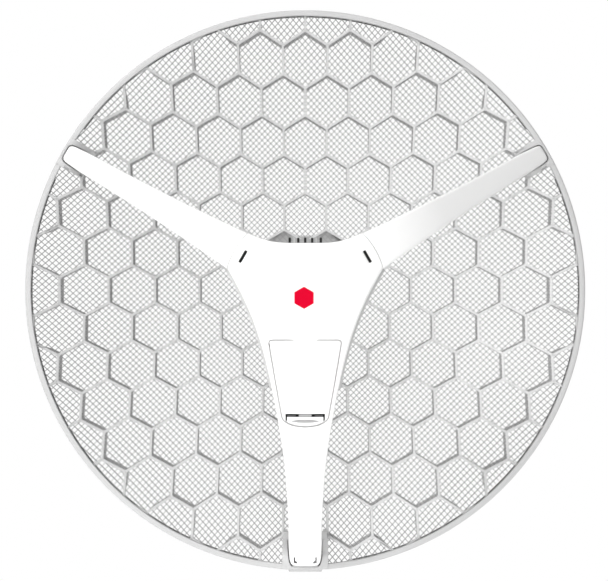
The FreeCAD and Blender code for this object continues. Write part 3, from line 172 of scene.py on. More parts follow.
MOULDED = {
    "reflector_plastic": dict(base=0.58, spread=0.012, rough=0.5, grain=900, bump=0.25),
    # rim_painted_shade: reflector_plastic made darker for the rim, sockets and hub tab, as painted shade
    "rim_painted_shade": dict(base=0.49, spread=0.012, rough=0.5, grain=900, bump=0.25),
    # painted_shade_black: near-black that stands in for shade, for the line along the mesh's edge and the
    # latch's shelves
    "painted_shade_black": dict(base=0.1, spread=0.01, rough=0.6, grain=900, bump=0.3, shine=0.2),
    # painted_shade_grey: darker grey that stands in for shade, for the hub's plates and the latch's tab and
    # scoop
    "painted_shade_grey": dict(base=0.36, spread=0.012, rough=0.6, grain=900, bump=0.3),
    "mesh_wire": dict(base=0.26, spread=0.02, rough=0.5, grain=1500, bump=0.1),
    "white_plastic": dict(
        base=0.86, spread=0.008, rough=0.32, grain=1200, bump=0.06, tint=(1, 1, 0.995), coat=0.2
    ),
    "grey_plastic": dict(base=0.62, spread=0.012, rough=0.5, grain=900, bump=0.2),
    # cover_painted_shade: grey_plastic made darker for the back cover, as painted shade of its side band
    "cover_painted_shade": dict(base=0.52, spread=0.012, rough=0.5, grain=900, bump=0.2),
    "seal_rubber": dict(base=0.008, spread=0.003, rough=0.75, grain=700, bump=0.3, shine=0.1),
    "bracket_aluminium": dict(base=0.55, spread=0.02, rough=0.42, grain=700, bump=0.35, metallic=1.0),
    "board_green": dict(base=0.09, spread=0.01, rough=0.4, grain=500, bump=0.1, tint=GREEN),
    "port_plastic": dict(base=0.012, spread=0.004, rough=0.5, grain=900, bump=0.15, shine=0.2),
    "lamp_plastic": dict(base=0.75, spread=0.02, rough=0.2, grain=600, bump=0.05, tint=(0.9, 1, 0.8)),
    "clear_plastic": dict(base=0.8, spread=0.01, rough=0.15, grain=600, bump=0.03),
    "red_ink": dict(base=1.0, spread=0.0, rough=0.6, grain=1200, bump=0.05, tint=RED, shine=0.0),
}
BRUSHED = {
    "zinc_steel": dict(base=0.62, rough=0.34, tint=(1, 1, 1.02)),
    "tin_plate": dict(base=0.7, rough=0.3),
    "brass_plate": dict(base=0.7, rough=0.3, tint=BRASS),
}
MATERIALS = {name: moulded(name, **look) for name, look in MOULDED.items()}
MATERIALS |= {name: brushed(name, **look) for name, look in BRUSHED.items()}


def dress(piece, look):
    """Gives a piece its look."""
    piece.data.materials.clear()
    piece.data.materials.append(MATERIALS[look])


def dress_frame():
    """Every carried-over CAD node gets the material of its slot."""
    for entry in frame["record"]["subparts"]:
        for slot in frame["nodes"][entry["node"]].material_slots:
            slot.material = MATERIALS[entry["material_slot"]]


# ---- outlines: paths and counterclockwise loops of (x, y) in the dish frame -------------------

SHARPEST = 0.35  # keeps sharp corners from shooting out when a loop is moved aside


def polar(radius, degrees):
    return (radius * math.cos(math.radians(degrees)), radius * math.sin(math.radians(degrees)))


def spline(points, spacing):
    """Natural cubic spline through points, sampled at about even steps."""
    knots = np.array(points, float)
    gaps = np.linalg.norm(np.diff(knots, axis=0), axis=1)
    count = len(knots)
    matrix = np.eye(count)
    right = np.zeros((count, 2))
    for i in range(1, count - 1):
        matrix[i, i - 1 : i + 2] = gaps[i - 1], 2 * (gaps[i - 1] + gaps[i]), gaps[i]
        slopes = (knots[i + 1] - knots[i]) / gaps[i] - (knots[i] - knots[i - 1]) / gaps[i - 1]
        right[i] = 6 * slopes
    bend = np.linalg.solve(matrix, right)
    path = []
    for i, gap in enumerate(gaps):
        steps = max(1, round(gap / spacing))
        for step in range(steps):
            t = step / steps * gap
            rest = gap - t
            cubic = (bend[i] * rest**3 + bend[i + 1] * t**3) / (6 * gap)
            linear = (knots[i] / gap - bend[i] * gap / 6) * rest
            path.append(cubic + linear + (knots[i + 1] / gap - bend[i + 1] * gap / 6) * t)
    return [tuple(point) for point in path] + [tuple(knots[-1])]


def arc(radius, first, last, spacing=2.0, centre=(0.0, 0.0)):
    """Arc between two angles in degrees."""
    count = max(3, math.ceil(abs(math.radians(last - first)) * radius / spacing))
    angles = [math.radians(first + (last - first) * i / count) for i in range(count + 1)]
    return [(centre[0] + radius * math.cos(a), centre[1] + radius * math.sin(a)) for a in angles]


def straight(start, end, spacing=3.0):
    count = max(1, math.ceil(math.dist(start, end) / spacing))
    return [tuple(a + (b - a) * i / count for a, b in zip(start, end)) for i in range(count + 1)]


def closed(corners, spacing=3.0):
    """Polygon with points along its sides."""
    sides = zip(corners, corners[1:] + corners[:1])
    return np.array([point for a, b in sides for point in straight(a, b, spacing)[:-1]])


def strip(start, end, half):
    """Corners of a rectangle that lies along +x."""
    return [(start, -half), (end, -half), (end, half), (start, half)]


def flipped(path):
    """Mirror image on the other side of the y axis, with its direction kept."""
    return [(-x, y) for x, y in reversed(path)]


def joined(*parts):
    """Loop of paths; each part is (path, rounded), and flags tell which edges are rounded."""
    points = []
    flags = []
    for path, is_rounded in parts:
        points += path[:-1]
        flags += [is_rounded] * (len(path) - 1)
    return np.array(points), np.array(flags)


def all_rounded(points):
    points = np.asarray(points, float)
    return points, np.ones(len(points), bool)


def rounded_box(wide, high, radius, x=0.0, y=0.0, turn=0.0):
    """Rectangle with round corners about (x, y), turned by an angle in radians."""
    points = []
    for corner, (side, up) in enumerate(((1, -1), (1, 1), (-1, 1), (-1, -1))):
        centre = (side * (wide / 2 - radius), up * (high / 2 - radius))
        first = -90 + 90 * corner
        points += arc(radius, first, first + 90, radius / 3, centre)
    spin = [[math.cos(turn), math.sin(turn)], [-math.sin(turn), math.cos(turn)]]
    return np.array(points) @ np.array(spin) + (x, y)


def beside(loop, inset):
    """Loop moved to its left, which is inward when it runs counterclockwise."""
    ahead = np.roll(loop, -1, axis=0) - loop
    ahead /= np.linalg.norm(ahead, axis=1)[:, None]
    behind = np.roll(ahead, 1, axis=0)
    first = np.stack((-behind[:, 1], behind[:, 0]), axis=1)
    second = np.stack((-ahead[:, 1], ahead[:, 0]), axis=1)
    dot = (first * second).sum(axis=1)
    return loop + (first + second) * (inset / np.maximum(SHARPEST, 1 + dot))[:, None]


def turned(points, degrees):
    angle = math.radians(degrees)
    spin = np.array([[math.cos(angle), math.sin(angle)], [-math.sin(angle), math.cos(angle)]])
    return np.asarray(points) @ spin


# ---- outlines of the feed unit ---------------------------------------------------------------

SEAM = 69.5  # radius of the seams between the housing and the upper arms
SEAM_TOP, SEAM_FOOT = 135, 164.4  # where the left seam ends, in degrees
SEAM_GAP = 0.3
VALLEY_STATIONS = [(32.1, 42.7), (0, 40.4), (-32.1, 42.7)]
SIDE_STATIONS = [(-53.8, -5.3), (-38.7, -44), (-27.8, -92), (-19.8, -147), (-15.7, -226)]
FOOT_STATIONS = [(-15.7, -226), (-15.9, -246), (-15.5, -259), (-14.4, -266.3), (-12.6, -269.4)]
FOOT_STATIONS += [(-9.5, -270.3), (0, -270.4)]
ARM_STATIONS = [(67.54, 17.6), (98, 15.3), (130, 13.4), (190, 11.2), (248, 9.9)]
TIP_STATIONS = [(248, 9.9), (261, 9.1), (267.2, 8.3), (269.8, 6.9), (270.6, 4.4), (270.7, 0)]
DOOR_BOW = [(-20.1, -110.4), (-19.0, -113.0), (-16.1, -115.7), (-12.0, -117.8), (-6.0, -119.2), (0, -119.6)]


def housing_loop():
    """Housing with the long lower arm."""
    high = polar(SEAM, SEAM_TOP)
    low = polar(SEAM, SEAM_FOOT)
    valley = spline([(-high[0], high[1]), *VALLEY_STATIONS, high], 2.0)
    side = spline([low, *SIDE_STATIONS], 2.5)
    foot = spline(FOOT_STATIONS, 1.5)
    seam = arc(SEAM, SEAM_TOP, SEAM_FOOT)
    return joined(
        (valley, True), (seam, False), (side, True), (foot, True),
        (flipped(foot), True), (flipped(side), True), (flipped(seam), False),
    )


def arm_loop(angle):
    """Upper arm, drawn along +x and turned to its angle."""
    side = spline(ARM_STATIONS, 3.0)
    tip = spline(TIP_STATIONS, 1.0)
    below = [(x, -y) for x, y in side]
    below_tip = [(x, -y) for x, y in tip]
    root_angle = math.degrees(math.asin(ARM_STATIONS[0][1] / (SEAM + SEAM_GAP)))
    root = arc(SEAM + SEAM_GAP, root_angle, -root_angle)
    points, flags = joined(
        (below, True), (below_tip, True), (tip[::-1], True), (side[::-1], True), (root, False)
    )
    return turned(points, angle), flags


def door_loop(grow=0.0):
    """Service door: bowed foot, sides that lean outward and round upper corners."""
    top, top_half, corner = -43.05, 31.0, 3.5
    half, bottom = -DOOR_BOW[0][0], DOOR_BOW[0][1]
    bow = spline(DOOR_BOW + flipped(DOOR_BOW[:-1]), 1.2)
    slope = math.atan2(bottom - top, half - top_half)
    side_top = (top_half + corner * math.cos(slope), top + corner * math.sin(slope))
    rounding = spline([side_top, (top_half - 0.75, top - 1.0), (top_half - corner, top)], 0.7)
    side = straight((half, bottom), side_top)
    edge = straight(rounding[-1], (-rounding[-1][0], top))
    points, flags = joined(
        (bow, True), (side, True), (rounding, True), (edge, True),
        (flipped(rounding), True), (flipped(side), True),
    )
    return beside(points, -grow), flags


def notched_door():
    """Door outline with the latch's notch cut into its lower edge."""
    half, top, foot = 17.2, -107.9, -114.7
    corner = DOOR_BOW[0][1]
    points, _ = door_loop()
    kept = [tuple(p) for p in points if p[1] > corner - 0.1 or abs(p[0]) > half + 0.5]
    left = sum(1 for x, y in kept if x < 0 and y < corner + 0.05)
    rest = kept[left:] + kept[:left]
    notch = straight((-half, foot), (-half, top), 2.0)
    notch += straight((-half, top), (half, top))[1:]
    notch += straight((half, top), (half, foot), 2.0)[1:]
    return np.array(rest + notch), np.array([True] * len(rest) + [False] * len(notch))


# ---- surfaces: functions that give heights over the vertex plane -----------------------------


def front(points):
    """Front of the feed unit: flat nose, arc, straight cone."""
    flat, bend, arc_end = 14.8, 220.0, 142.2
    radius = np.linalg.norm(points, axis=1)
    inside = np.clip(radius, flat, arc_end) - flat
    slope = (arc_end - flat) / math.sqrt(bend**2 - (arc_end - flat) ** 2)
    return NOSE - bend + np.sqrt(bend**2 - inside**2) - slope * np.maximum(0, radius - arc_end)


def level(height):
    return lambda points: np.full(len(points), float(height))


def lowered(surface, drop):
    return lambda points: surface(points) - drop


def parabola(points):
    return (np.asarray(points) ** 2).sum(-1) / (4 * FOCAL)


# ---- triangles between loops -----------------------------------------------------------------

GRID_ROW = 0.866  # height of a row of triangles, as a share of their side
GRID_CLEAR = 0.6  # distance of the grid's points from the loops, as a share of the spacing
TOUCHING = 1e-6
TINY = 1e-12
FAR = 1e6


def distance(points, loop, chosen):
    """Distance of each point to the chosen edges of a loop."""
    starts = loop[chosen]
    if not len(starts):
        return np.full(len(points), FAR)
    along = np.roll(loop, -1, axis=0)[chosen] - starts
    offset = points[:, None, :] - starts[None]
    t = np.clip((offset * along).sum(-1) / (along * along).sum(-1), 0, 1)
    return np.linalg.norm(offset - t[..., None] * along, axis=-1).min(1)


def contains(loop, points):
    """Whether each point lies inside a loop."""
    x, y = points[:, 0][:, None], points[:, 1][:, None]
    ax, ay = loop[:, 0], loop[:, 1]
    bx, by = np.roll(ax, -1), np.roll(ay, -1)
    height = np.where(by == ay, TINY, by - ay)
    passed = ((ay > y) != (by > y)) & (x < ax + (y - ay) * (bx - ax) / height)
    return passed.sum(1) % 2 == 1


def fill(loops, spacing):
    """Triangles inside the first loop and outside the rest, on an even grid of inner points."""
    outer, *holes = loops
    low, high = outer.min(0), outer.max(0)
    xs = np.arange(low[0], high[0], spacing)
    ys = np.arange(low[1], high[1], spacing * GRID_ROW)
    grid = np.array([(x + (row % 2) * spacing / 2, y) for row, y in enumerate(ys) for x in xs])
    clear = spacing * GRID_CLEAR
    good = contains(outer, grid) & (distance(grid, outer, slice(None)) > clear)
    for hole in holes:
        good &= ~contains(hole, grid) & (distance(grid, hole, slice(None)) > clear)
    points = np.concatenate([*loops, grid[good]])
    edges = []
    start = 0
    for loop in loops:
        size = len(loop)
        edges += [(start + i, start + (i + 1) % size) for i in range(size)]
        start += size
    result = delaunay_2d_cdt([Vector(p) for p in points], edges, [], 0, TOUCHING)
    source = [owners[0] for owners in result[3]]
    triangles = np.array([[source[i] for i in corners] for corners in result[2]])
    middle = points[triangles].mean(1)
    keep = contains(outer, middle)
    for hole in holes:
        keep &= ~contains(hole, middle)
    return points, triangles[keep]


# ---- building of pieces ----------------------------------------------------------------------

BEVEL = 0.3
ROUND_STEPS = (0.13, 0.3, 0.5, 0.75, 1.0)  # insets of a rounding's rings, as shares of its radius
MERGE = 1e-7


class Build:
    """Collects vertices and faces of one piece in the dish frame."""

    def __init__(self):
        self.vertices = []
        self.faces = []

    def add(self, points):
        first = len(self.vertices)
        self.vertices += [tuple(point) for point in points]
        return list(range(first, len(self.vertices)))

    def ring(self, loop, surface):
        return self.add(np.column_stack((loop, surface(loop))))

    def bridge(self, a, b):
        size = len(a)
        for i in range(size):
            j = (i + 1) % size
            self.faces.append((a[i], a[j], b[j], b[i]))

    def bridge_all(self, rings):
        for a, b in zip(rings, rings[1:]):
            self.bridge(a, b)

    def cap(self, rings, loops, surface, spacing):
        """Fill between finished rings with triangles on a surface."""
        points, triangles = fill(loops, spacing)
        known = [index for ring in rings for index in ring]
        inner = points[len(known) :]
        known += self.ring(inner, surface) if len(inner) else []
        self.faces += [tuple(known[i] for i in triangle) for triangle in triangles]

    def piece(self, name, body, look, crease=40):
        """Finished piece on a body, smooth up to a crease angle in degrees."""
        mesh = bpy.data.meshes.new(name)
        mesh.from_pydata([in_row(*vertex) for vertex in self.vertices], [], self.faces)
        work = bmesh.new()
        work.from_mesh(mesh)
        bmesh.ops.remove_doubles(work, verts=work.verts, dist=MERGE)
        bmesh.ops.recalc_face_normals(work, faces=work.faces)
        work.to_mesh(mesh)
        work.free()
        mesh.shade_smooth()
        mesh.set_sharp_from_angle(angle=math.radians(crease))
        piece = bpy.data.objects.new(name, mesh)
        bpy.context.scene.collection.objects.link(piece)
        dress(piece, look)
        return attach(piece, body)


def rounded_rings(build, loop, flags, surface, radius, sign):
    """Rings from a loop's edge inward that round its flagged edges; the rest get a fine bevel."""
    rings = []
    loops = []
    for inset in sorted({0.0, BEVEL, *(radius * share for share in ROUND_STEPS)}):
        loops.append(beside(loop, inset))
        near = np.clip(distance(loops[-1], loop, flags), 0, radius)
        drop = radius - np.sqrt(np.maximum(0, radius**2 - (radius - near) ** 2))
        plain = np.clip(distance(loops[-1], loop, ~flags), 0, BEVEL)
        rings.append(build.ring(loops[-1], lowered(surface, sign * np.maximum(drop, BEVEL - plain))))
    build.bridge_all(rings)
    return rings[0], rings[-1], loops[-1]


def hole_rings(build, hole, surface, sign):
    """Bevel round a hole: its edge, the ring around that edge, and that ring's loop."""
    edge = build.ring(hole, lowered(surface, sign * BEVEL))
    wider = beside(hole, -BEVEL)
    around = build.ring(wider, surface)
    build.bridge(around, edge)
    return edge, around, wider


def face(build, outline, holes, surface, radius, spacing, sign=1):
    """Front of a piece with rounded edges; gives its edge and the edges of its holes."""
    edge, top, top_loop = rounded_rings(build, *outline, surface, radius, sign)
    cut = [hole_rings(build, hole, surface, sign) for hole in holes]
    rings = [top] + [around for _, around, _ in cut]
    loops = [top_loop] + [wider for _, _, wider in cut]
    build.cap(rings, loops, surface, spacing)
    return edge, [hole_edge for hole_edge, _, _ in cut]


def closing(build, ring, loop, hole_edges, holes, surface, spacing):
    """Back of a piece inside a ring, joined to the edges of its holes."""
    deep = [build.ring(hole, surface) for hole in holes]
    for hole_edge, bottom in zip(hole_edges, deep):
        build.bridge(hole_edge, bottom)
    build.cap([ring] + deep, [loop] + list(holes), surface, spacing)


def shell(build, outline, holes, surface, foot, wall, radius, draft, sign=1, ceiling=None, spacing=4.0):
    """Rounded cover with sides down to a foot surface and an open back; sign -1 faces the dish."""
    edge, hole_edges = face(build, outline, holes, surface, radius, spacing, sign)
    foot_loop = beside(outline[0], -draft)
    lip_loop = beside(foot_loop, BEVEL)
    inner_loop = beside(foot_loop, wall + draft)
    room_loop = beside(outline[0], wall)
    ceiling = ceiling or lowered(surface, sign * wall)
    rings = [
        edge,
        build.ring(foot_loop, lowered(foot, -sign * BEVEL)),
        build.ring(lip_loop, foot),
        build.ring(inner_loop, foot),
        build.ring(room_loop, ceiling),
    ]
    build.bridge_all(rings)
    closing(build, rings[-1], room_loop, hole_edges, holes, ceiling, spacing)


def slab(build, outline, holes, surface, back, radius, spacing=4.0):
    """Plate between two surfaces with rounded front edges."""
    edge, hole_edges = face(build, outline, holes, surface, radius, spacing)
    side = build.ring(outline[0], lowered(back, -BEVEL))
    under_loop = beside(outline[0], BEVEL)
    under = build.ring(under_loop, back)
    build.bridge_all([edge, side, under])
    closing(build, under, under_loop, hole_edges, holes, back, spacing)


def front_plate(build, points, top, back, radius, spacing=4.0):
    """Plate that follows the feed unit's front, between two depths under it."""
    slab(build, all_rounded(points), [], lowered(front, top), lowered(front, back), radius, spacing)


def level_plate(build, points, top, back, radius):
    """Flat plate between two heights over the vertex plane."""
    slab(build, all_rounded(points), [], level(top), level(back), radius)


# ---- feed unit -----------------------------------------------------------------------------

WALL = 2.4
SIDE = 14.0
EDGE = 2.3
DRAFT = 0.35
ARM_WALL = 2.2
ARM_EDGE = 2.1
WEB = 1.6  # thickness of the webs inside an arm
DOOR_GAP = 0.9
LEDGE_WINDOW = [(-18.6, -109.8), (-15.8, -113.0), (0.0, -116.6), (15.8, -113.0), (18.6, -109.8)]
LEDGE_WINDOW += [(27.7, -46.2), (-27.7, -46.2)]
FOOT_SLIT = [(11.1, -259.5), (9.9, -259.5), (9.9, -263.6), (8.0, -265.0), (7.8, -266.6), (11.1, -266.6)]
HOOK_RADIUS = 60.6
HOOK_ANGLES = {150: 151.6, 30: 28.4}  # the snap hooks sit a little off their arms' middle
BACK = 186.0  # back of the housing, over the vertex
BACK_EDGE = 3.5
BACK_END = -83.5  # the tub covers what is above this height
LATCH_HALF = 15.9


def hook_loop(angle, wide, long):
    """Snap hook of the arm at an angle, or the window it shows through."""
    x, y = polar(HOOK_RADIUS, HOOK_ANGLES[angle])
    return rounded_box(wide, long, 0.5, x, y, math.radians(angle))


def feed_front_cover():
    """Front shell with the door's opening, the hooks' windows and the foot's slits, and a ledge."""
    build = Build()
    door_hole, _ = door_loop(grow=DOOR_GAP)
    windows = [hook_loop(angle, wide=2.7, long=11.6) for angle in (150, 30)]
    slits = [np.array(flipped(FOOT_SLIT)), np.array(FOOT_SLIT)]
    holes = [door_hole, *windows, *slits]
    shell(build, housing_loop(), holes, front, lowered(front, SIDE), WALL, EDGE, DRAFT)
    ledge = door_loop(grow=1.6)
    seat, under = lowered(front, 3.0), lowered(front, 4.6)
    slab(build, ledge, [closed(LEDGE_WINDOW)], seat, under, radius=0.3)
    piece = build.piece("front_cover", "reflector", "white_plastic")
    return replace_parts(piece, "feed_front_cover")


def upper_arm(node, angle):
    """Hollow arm with four webs inside, and a tongue and hook at its root in near-black: painted shade of
    the cavity seen through the hook's window.
    """
    build = Build()
    shell(build, arm_loop(angle), [], front, lowered(front, SIDE), ARM_WALL, ARM_EDGE, DRAFT)
    for place, half in ((110, 10.5), (150, 10.5), (190, 8.2), (230, 8.2)):
        web = turned(strip(place, place + WEB, half), angle)
        front_plate(build, web, top=1.5, back=11.0, radius=0.2)
    piece = build.piece(node.replace("upper", "visual"), "reflector", "white_plastic")
    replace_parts(piece, node)
    snap = Build()
    front_plate(snap, turned(strip(50, 71, 11), angle), top=3.2, back=8.8, radius=0.4)
    front_plate(snap, hook_loop(angle, wide=1.5, long=10.2), top=2.2, back=4.0, radius=0.2)
    # port_plastic here is painted shade of the cavity under the hook's window
    snap.piece(node.replace("upper", "tongue"), "reflector", "port_plastic")


def service_door():
    """Door panel with the barrel of its hinge along the top."""
    build = Build()
    slab(build, notched_door(), [], front, lowered(front, 2.2), radius=0.45, spacing=3.0)
    barrel = rounded_box(wide=20.4, high=2.8, radius=0.5, y=-42.0)
    front_plate(build, barrel, top=0.25, back=2.4, radius=0.4)
    piece = build.piece("door_panel", "door", "white_plastic")
    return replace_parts(piece, "service_door")


def latch_bed():
    """Near-black pad under the latch, seen through the gaps round it: painted shade of those gaps."""
    build = Build()
    pad = rounded_box(wide=36.4, high=10.0, radius=1.0, y=-111.8)
    front_plate(build, pad, top=3.2, back=3.6, radius=0.2)
    # seal_rubber here is painted shade of the gaps round the latch, not a seal
    build.piece("latch_bed", "reflector", "seal_rubber")


def latch_rocker():
    """Rocker that fills the notch in the door's lower edge."""
    top, shoulder, bow_top = -110.8, -115.0, -112
    points, _ = door_loop(grow=-0.45)
    bow = sorted(tuple(p) for p in points if abs(p[0]) < LATCH_HALF - 0.4 and p[1] < bow_top)
    loop = [(-LATCH_HALF, shoulder), *bow, (LATCH_HALF, shoulder), (LATCH_HALF, top)]
    loop += straight((LATCH_HALF, top), (-LATCH_HALF, top), 2.0)[1:]
    build = Build()
    front_plate(build, loop, top=0.15, back=2.2, radius=0.35, spacing=2.0)
    piece = build.piece("latch_rocker", "latch", "white_plastic")
    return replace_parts(piece, "door_latch")


def latch_shelf():
    """Two low shelves above the rocker in near-black: painted shade of the recess under the door's edge."""
    build = Build()
    for side in (-1, 1):
        shelf = rounded_box(wide=7.6, high=1.7, radius=0.5, x=side * 11.9, y=-110.1)
        front_plate(build, shelf, top=1.2, back=1.9, radius=0.15, spacing=2.0)
    # near-black shelves: painted shade of the recess above the rocker
    build.piece("latch_shelf", "latch", "painted_shade_black")


def latch_painted_shade():
    """Thumb tab between the shelves and a bowed patch on the rocker, both darker grey: painted shade of the
    recess and of the rocker's scoop.
    """
    build = Build()
    tab = rounded_box(wide=11.2, high=2.6, radius=0.4, y=-109.7)
    front_plate(build, tab, top=0.9, back=1.9, radius=0.3, spacing=2.0)
    middle = -114.7
    edge = [(-11.8, -115.1), (-6.0, -116.0), (0.0, -116.2), (6.0, -116.0), (11.8, -115.1)]
    scoop_shade = closed(edge + [(x, 2 * middle - y) for x, y in reversed(edge)], 1.5)
    front_plate(build, scoop_shade, top=0.05, back=0.6, radius=0.08, spacing=1.5)
    # darker grey tab and patch: painted shade of the recess and the scoop
    build.piece("latch_painted_shade", "latch", "painted_shade_grey")


def red_mark():
    """Plain red hexagon on the nose."""
    build = Build()
    hexagon_loop = closed([polar(9.5, 60 * side + 90) for side in range(6)], 1.6)
    front_plate(build, hexagon_loop + (-1.0, -6.5), top=-0.12, back=0.2, radius=0.1)
    build.piece("red_mark", "reflector", "red_ink")


def feed_back_cover():
    """Tub behind the housing that faces the dish."""
    step = 2.0
    points, _ = housing_loop()
    upper = points[:, 1] > BACK_END
    first = int(np.argmax(upper & ~np.roll(upper, 1)))
    order = np.roll(np.arange(len(points)), -first)
    sides = points[order[upper[order]]]
    bottom = straight(tuple(sides[-1]), tuple(sides[0]))[1:-1]
    grown = beside(np.concatenate([sides, np.array(bottom)]), -step) - (0, step)
    build = Build()
    shell(
        build, all_rounded(grown), [], level(BACK), lowered(front, SIDE + 0.1),
        WALL, BACK_EDGE, draft=0.0, sign=-1, ceiling=level(BACK + WALL),
    )
    # the back cover's darker grey is painted shade of its side band
    piece = build.piece("back_cover", "reflector", "cover_painted_shade")
    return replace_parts(piece, "feed_back_cover")


# ---- reflector's ribs ------------------------------------------------------------------------

PITCH = 44.7  # across the flats of a cell, from rib to rib
ROWS = 8
RIB = 2.5
FILLET = 1.2
SOFT = 0.3
PROUD = 0.8  # the ribs' fronts over the parabola
DEEP = 13.6  # the ribs' backs under the parabola
SHALLOW = 2.4  # the same where the ribs pass under the rim
HUB_BACK = 8.0  # back of the hub behind the vertex plane
HUB_RADIUS = 68.0
PLATE = 4.0  # highest level of the hub's plates
POCKET = 3.0  # the floor of the pocket behind a plate lies this far under the ribs' fronts
RIM_INNER = RIM - 5.6
RIM_SKIRT = RIM - 1.8
CORNER_CUT = 0.577  # 1/sqrt(3): a fillet's length along a side of a hexagon, for its radius
CORNER_PULL = 0.155  # how far the middle of that fillet lies from the corner


def rib_front(points):
    return parabola(points) + PROUD


def rib_back(points):
    """Back of the ribs: flat behind the hub, and shallow where they pass under the rim."""
    points = np.asarray(points)
    away = np.linalg.norm(points, axis=-1)
    depth = np.where(away > RIM_INNER - 4.0, SHALLOW, DEEP)
    return np.where(away < HUB_RADIUS, -HUB_BACK, parabola(points) - depth)


def hexagon(centre, across_flats, fillet):
    """Hexagon with five points to a side: a corner, its fillet's end and three between."""
    radius = across_flats / math.sqrt(3)
    corners = [np.array(centre) + polar(radius, 30 + 60 * i) for i in range(6)]
    cut = fillet * CORNER_CUT / radius
    points = []
    for i in range(6):
        start, end = corners[i], corners[(i + 1) % 6]
        pull = (np.array(centre) - start) / radius
        points.append(start + pull * fillet * CORNER_PULL)
        points += [start + (end - start) * share for share in (cut, 1 / 3, 2 / 3, 1 - cut)]
    return np.array(points)


def crossing(a, b, radius):
    """Point where the way from a to b meets the circle about the axis."""
    step = b - a
    half = a @ step
    root = math.sqrt(max(0, half**2 - (step @ step) * (a @ a - radius**2)))
    share = (-half + root) / (step @ step)
    if not 0 <= share <= 1:
        share = (-half - root) / (step @ step)
    return a + step * share


def clipped(loop, radius, spacing=3.0, shortest=0.15):
    """Part of a convex loop inside a circle about the axis, with the arc filled in."""
    inside = []
    for a, b in zip(loop, np.roll(loop, -1, axis=0)):
        inside_a, inside_b = np.linalg.norm(a) <= radius, np.linalg.norm(b) <= radius
        if inside_a:
            inside.append(a)
        if inside_a != inside_b:
            inside.append(crossing(a, b, radius))
    if len(inside) < 3:
        return None
    dense = []
    for a, b in zip(inside, inside[1:] + inside[:1]):
        dense.append(a)
        if all(abs(np.linalg.norm(end) - radius) < TOUCHING for end in (a, b)):
            count = max(1, round(math.dist(a, b) / spacing))
            for step in range(1, count):
                point = a + (b - a) * step / count
                dense.append(point * radius / np.linalg.norm(point))
    result = [dense[0]]
    for point in dense[1:]:
        if math.dist(point, result[-1]) > shortest:
            result.append(point)
    return np.array(result) if len(result) > 3 else None


def tube(build, opening, outer, close):
    """Rib walls round one opening, from the middle of the ribs to their bevelled edges."""
    wider = beside(opening, -SOFT)
    rings = [
        build.ring(outer, rib_front),
        build.ring(wider, rib_front),
        build.ring(opening, lowered(rib_front, SOFT)),
        build.ring(opening, lowered(rib_back, -SOFT)),
        build.ring(wider, rib_back),
        build.ring(outer, rib_back),
    ]
    build.bridge_all(rings)
    if close:
        build.bridge(rings[-1], rings[0])
    return rings[0], rings[-1]


def spokes(build, loop, middle, surface, shares):
    """Disc of rings that shrink by shares from a loop to its middle."""
    rings = [build.ring(middle + (loop - middle) * share, surface) for share in shares]
    build.bridge_all(rings)
    last = rings[-1]
    hub = build.ring(middle[None], surface)[0]
    build.faces += [(last[i], last[(i + 1) % len(last)], hub) for i in range(len(last))]
    return rings[0]


def plate_front(points):
    return np.minimum(rib_front(points) - SOFT - 0.05, PLATE)


def hub_cell(build, centre):
    """Closed cell of the hub: a plate in front, a pocket behind."""
    outer = hexagon(centre, PITCH, 0.0)
    opening = hexagon(centre, PITCH - RIB, FILLET)
    wider = beside(opening, -SOFT)
    middle = np.array(centre)
    face_ring = build.ring(outer, rib_front)
    lip = build.ring(wider, rib_front)
    edge = build.ring(opening, lowered(rib_front, SOFT))
    recess = spokes(build, opening, middle, plate_front, (1.0, 0.7, 0.4, 0.15))
    build.bridge_all([face_ring, lip, edge, recess])
    back = build.ring(outer, rib_back)
    soft = build.add(np.column_stack((wider, rib_back(opening))))
    side = build.ring(opening, lowered(rib_back, -SOFT))
    floor = spokes(build, opening, middle, lowered(rib_front, POCKET), (1.0, 0.6, 0.25))
    build.bridge_all([back, soft, side, floor])
    return face_ring, back


def lattice():
    """Hexagon ribs with neighbours sharing the middle of each rib."""
    build = Build()
    borders = {}
    for row in range(-ROWS, ROWS + 1):
        for column in range(-ROWS, ROWS + 1):
            centre = ((column + (row % 2) / 2) * PITCH, row * PITCH * math.sqrt(3) / 2)
            away = math.hypot(*centre)
            if away > RIM_SKIRT + PITCH * 0.6:
                continue
            outer = hexagon(centre, PITCH, 0.0)
            opening = hexagon(centre, PITCH - RIB, FILLET)
            if away < 1.1 * PITCH:
                top, bottom = hub_cell(build, centre)
            elif np.linalg.norm(outer, axis=1).max() < RIM_SKIRT - 0.5:
                top, bottom = tube(build, opening, outer, close=False)
            else:
                # A cell that the rim cuts off stands alone, with half a rib all round.
                opening = clipped(opening, RIM_SKIRT)
                if opening is not None:
                    tube(build, opening, beside(opening, -RIB / 2), close=True)
                continue
            # A border between two cells stays open; one with a cell on one side only gets a wall.
            size = len(outer)
            for i in range(size):
                j = (i + 1) % size
                key = tuple(sorted((tuple(np.round(outer[i], 2)), tuple(np.round(outer[j], 2)))))
                borders.setdefault(key, []).append((top[i], top[j], bottom[j], bottom[i]))
    build.faces += [walls[0] for walls in borders.values() if len(walls) == 1]
    return build


# ---- reflector's rim and sockets -------------------------------------------------------------

RIM_SECTIONS = 720
RIM_PROUD = 1.6  # the rim's front over the parabola's edge
RIM_BEND = 1.6
FLANGE = 3.2
RIM_DEPTH = 16.6
TIP_ROOMS = {30: (11.1, 271.9), 150: (11.1, 271.9), 270: (17.3, 270.8)}  # half width, end
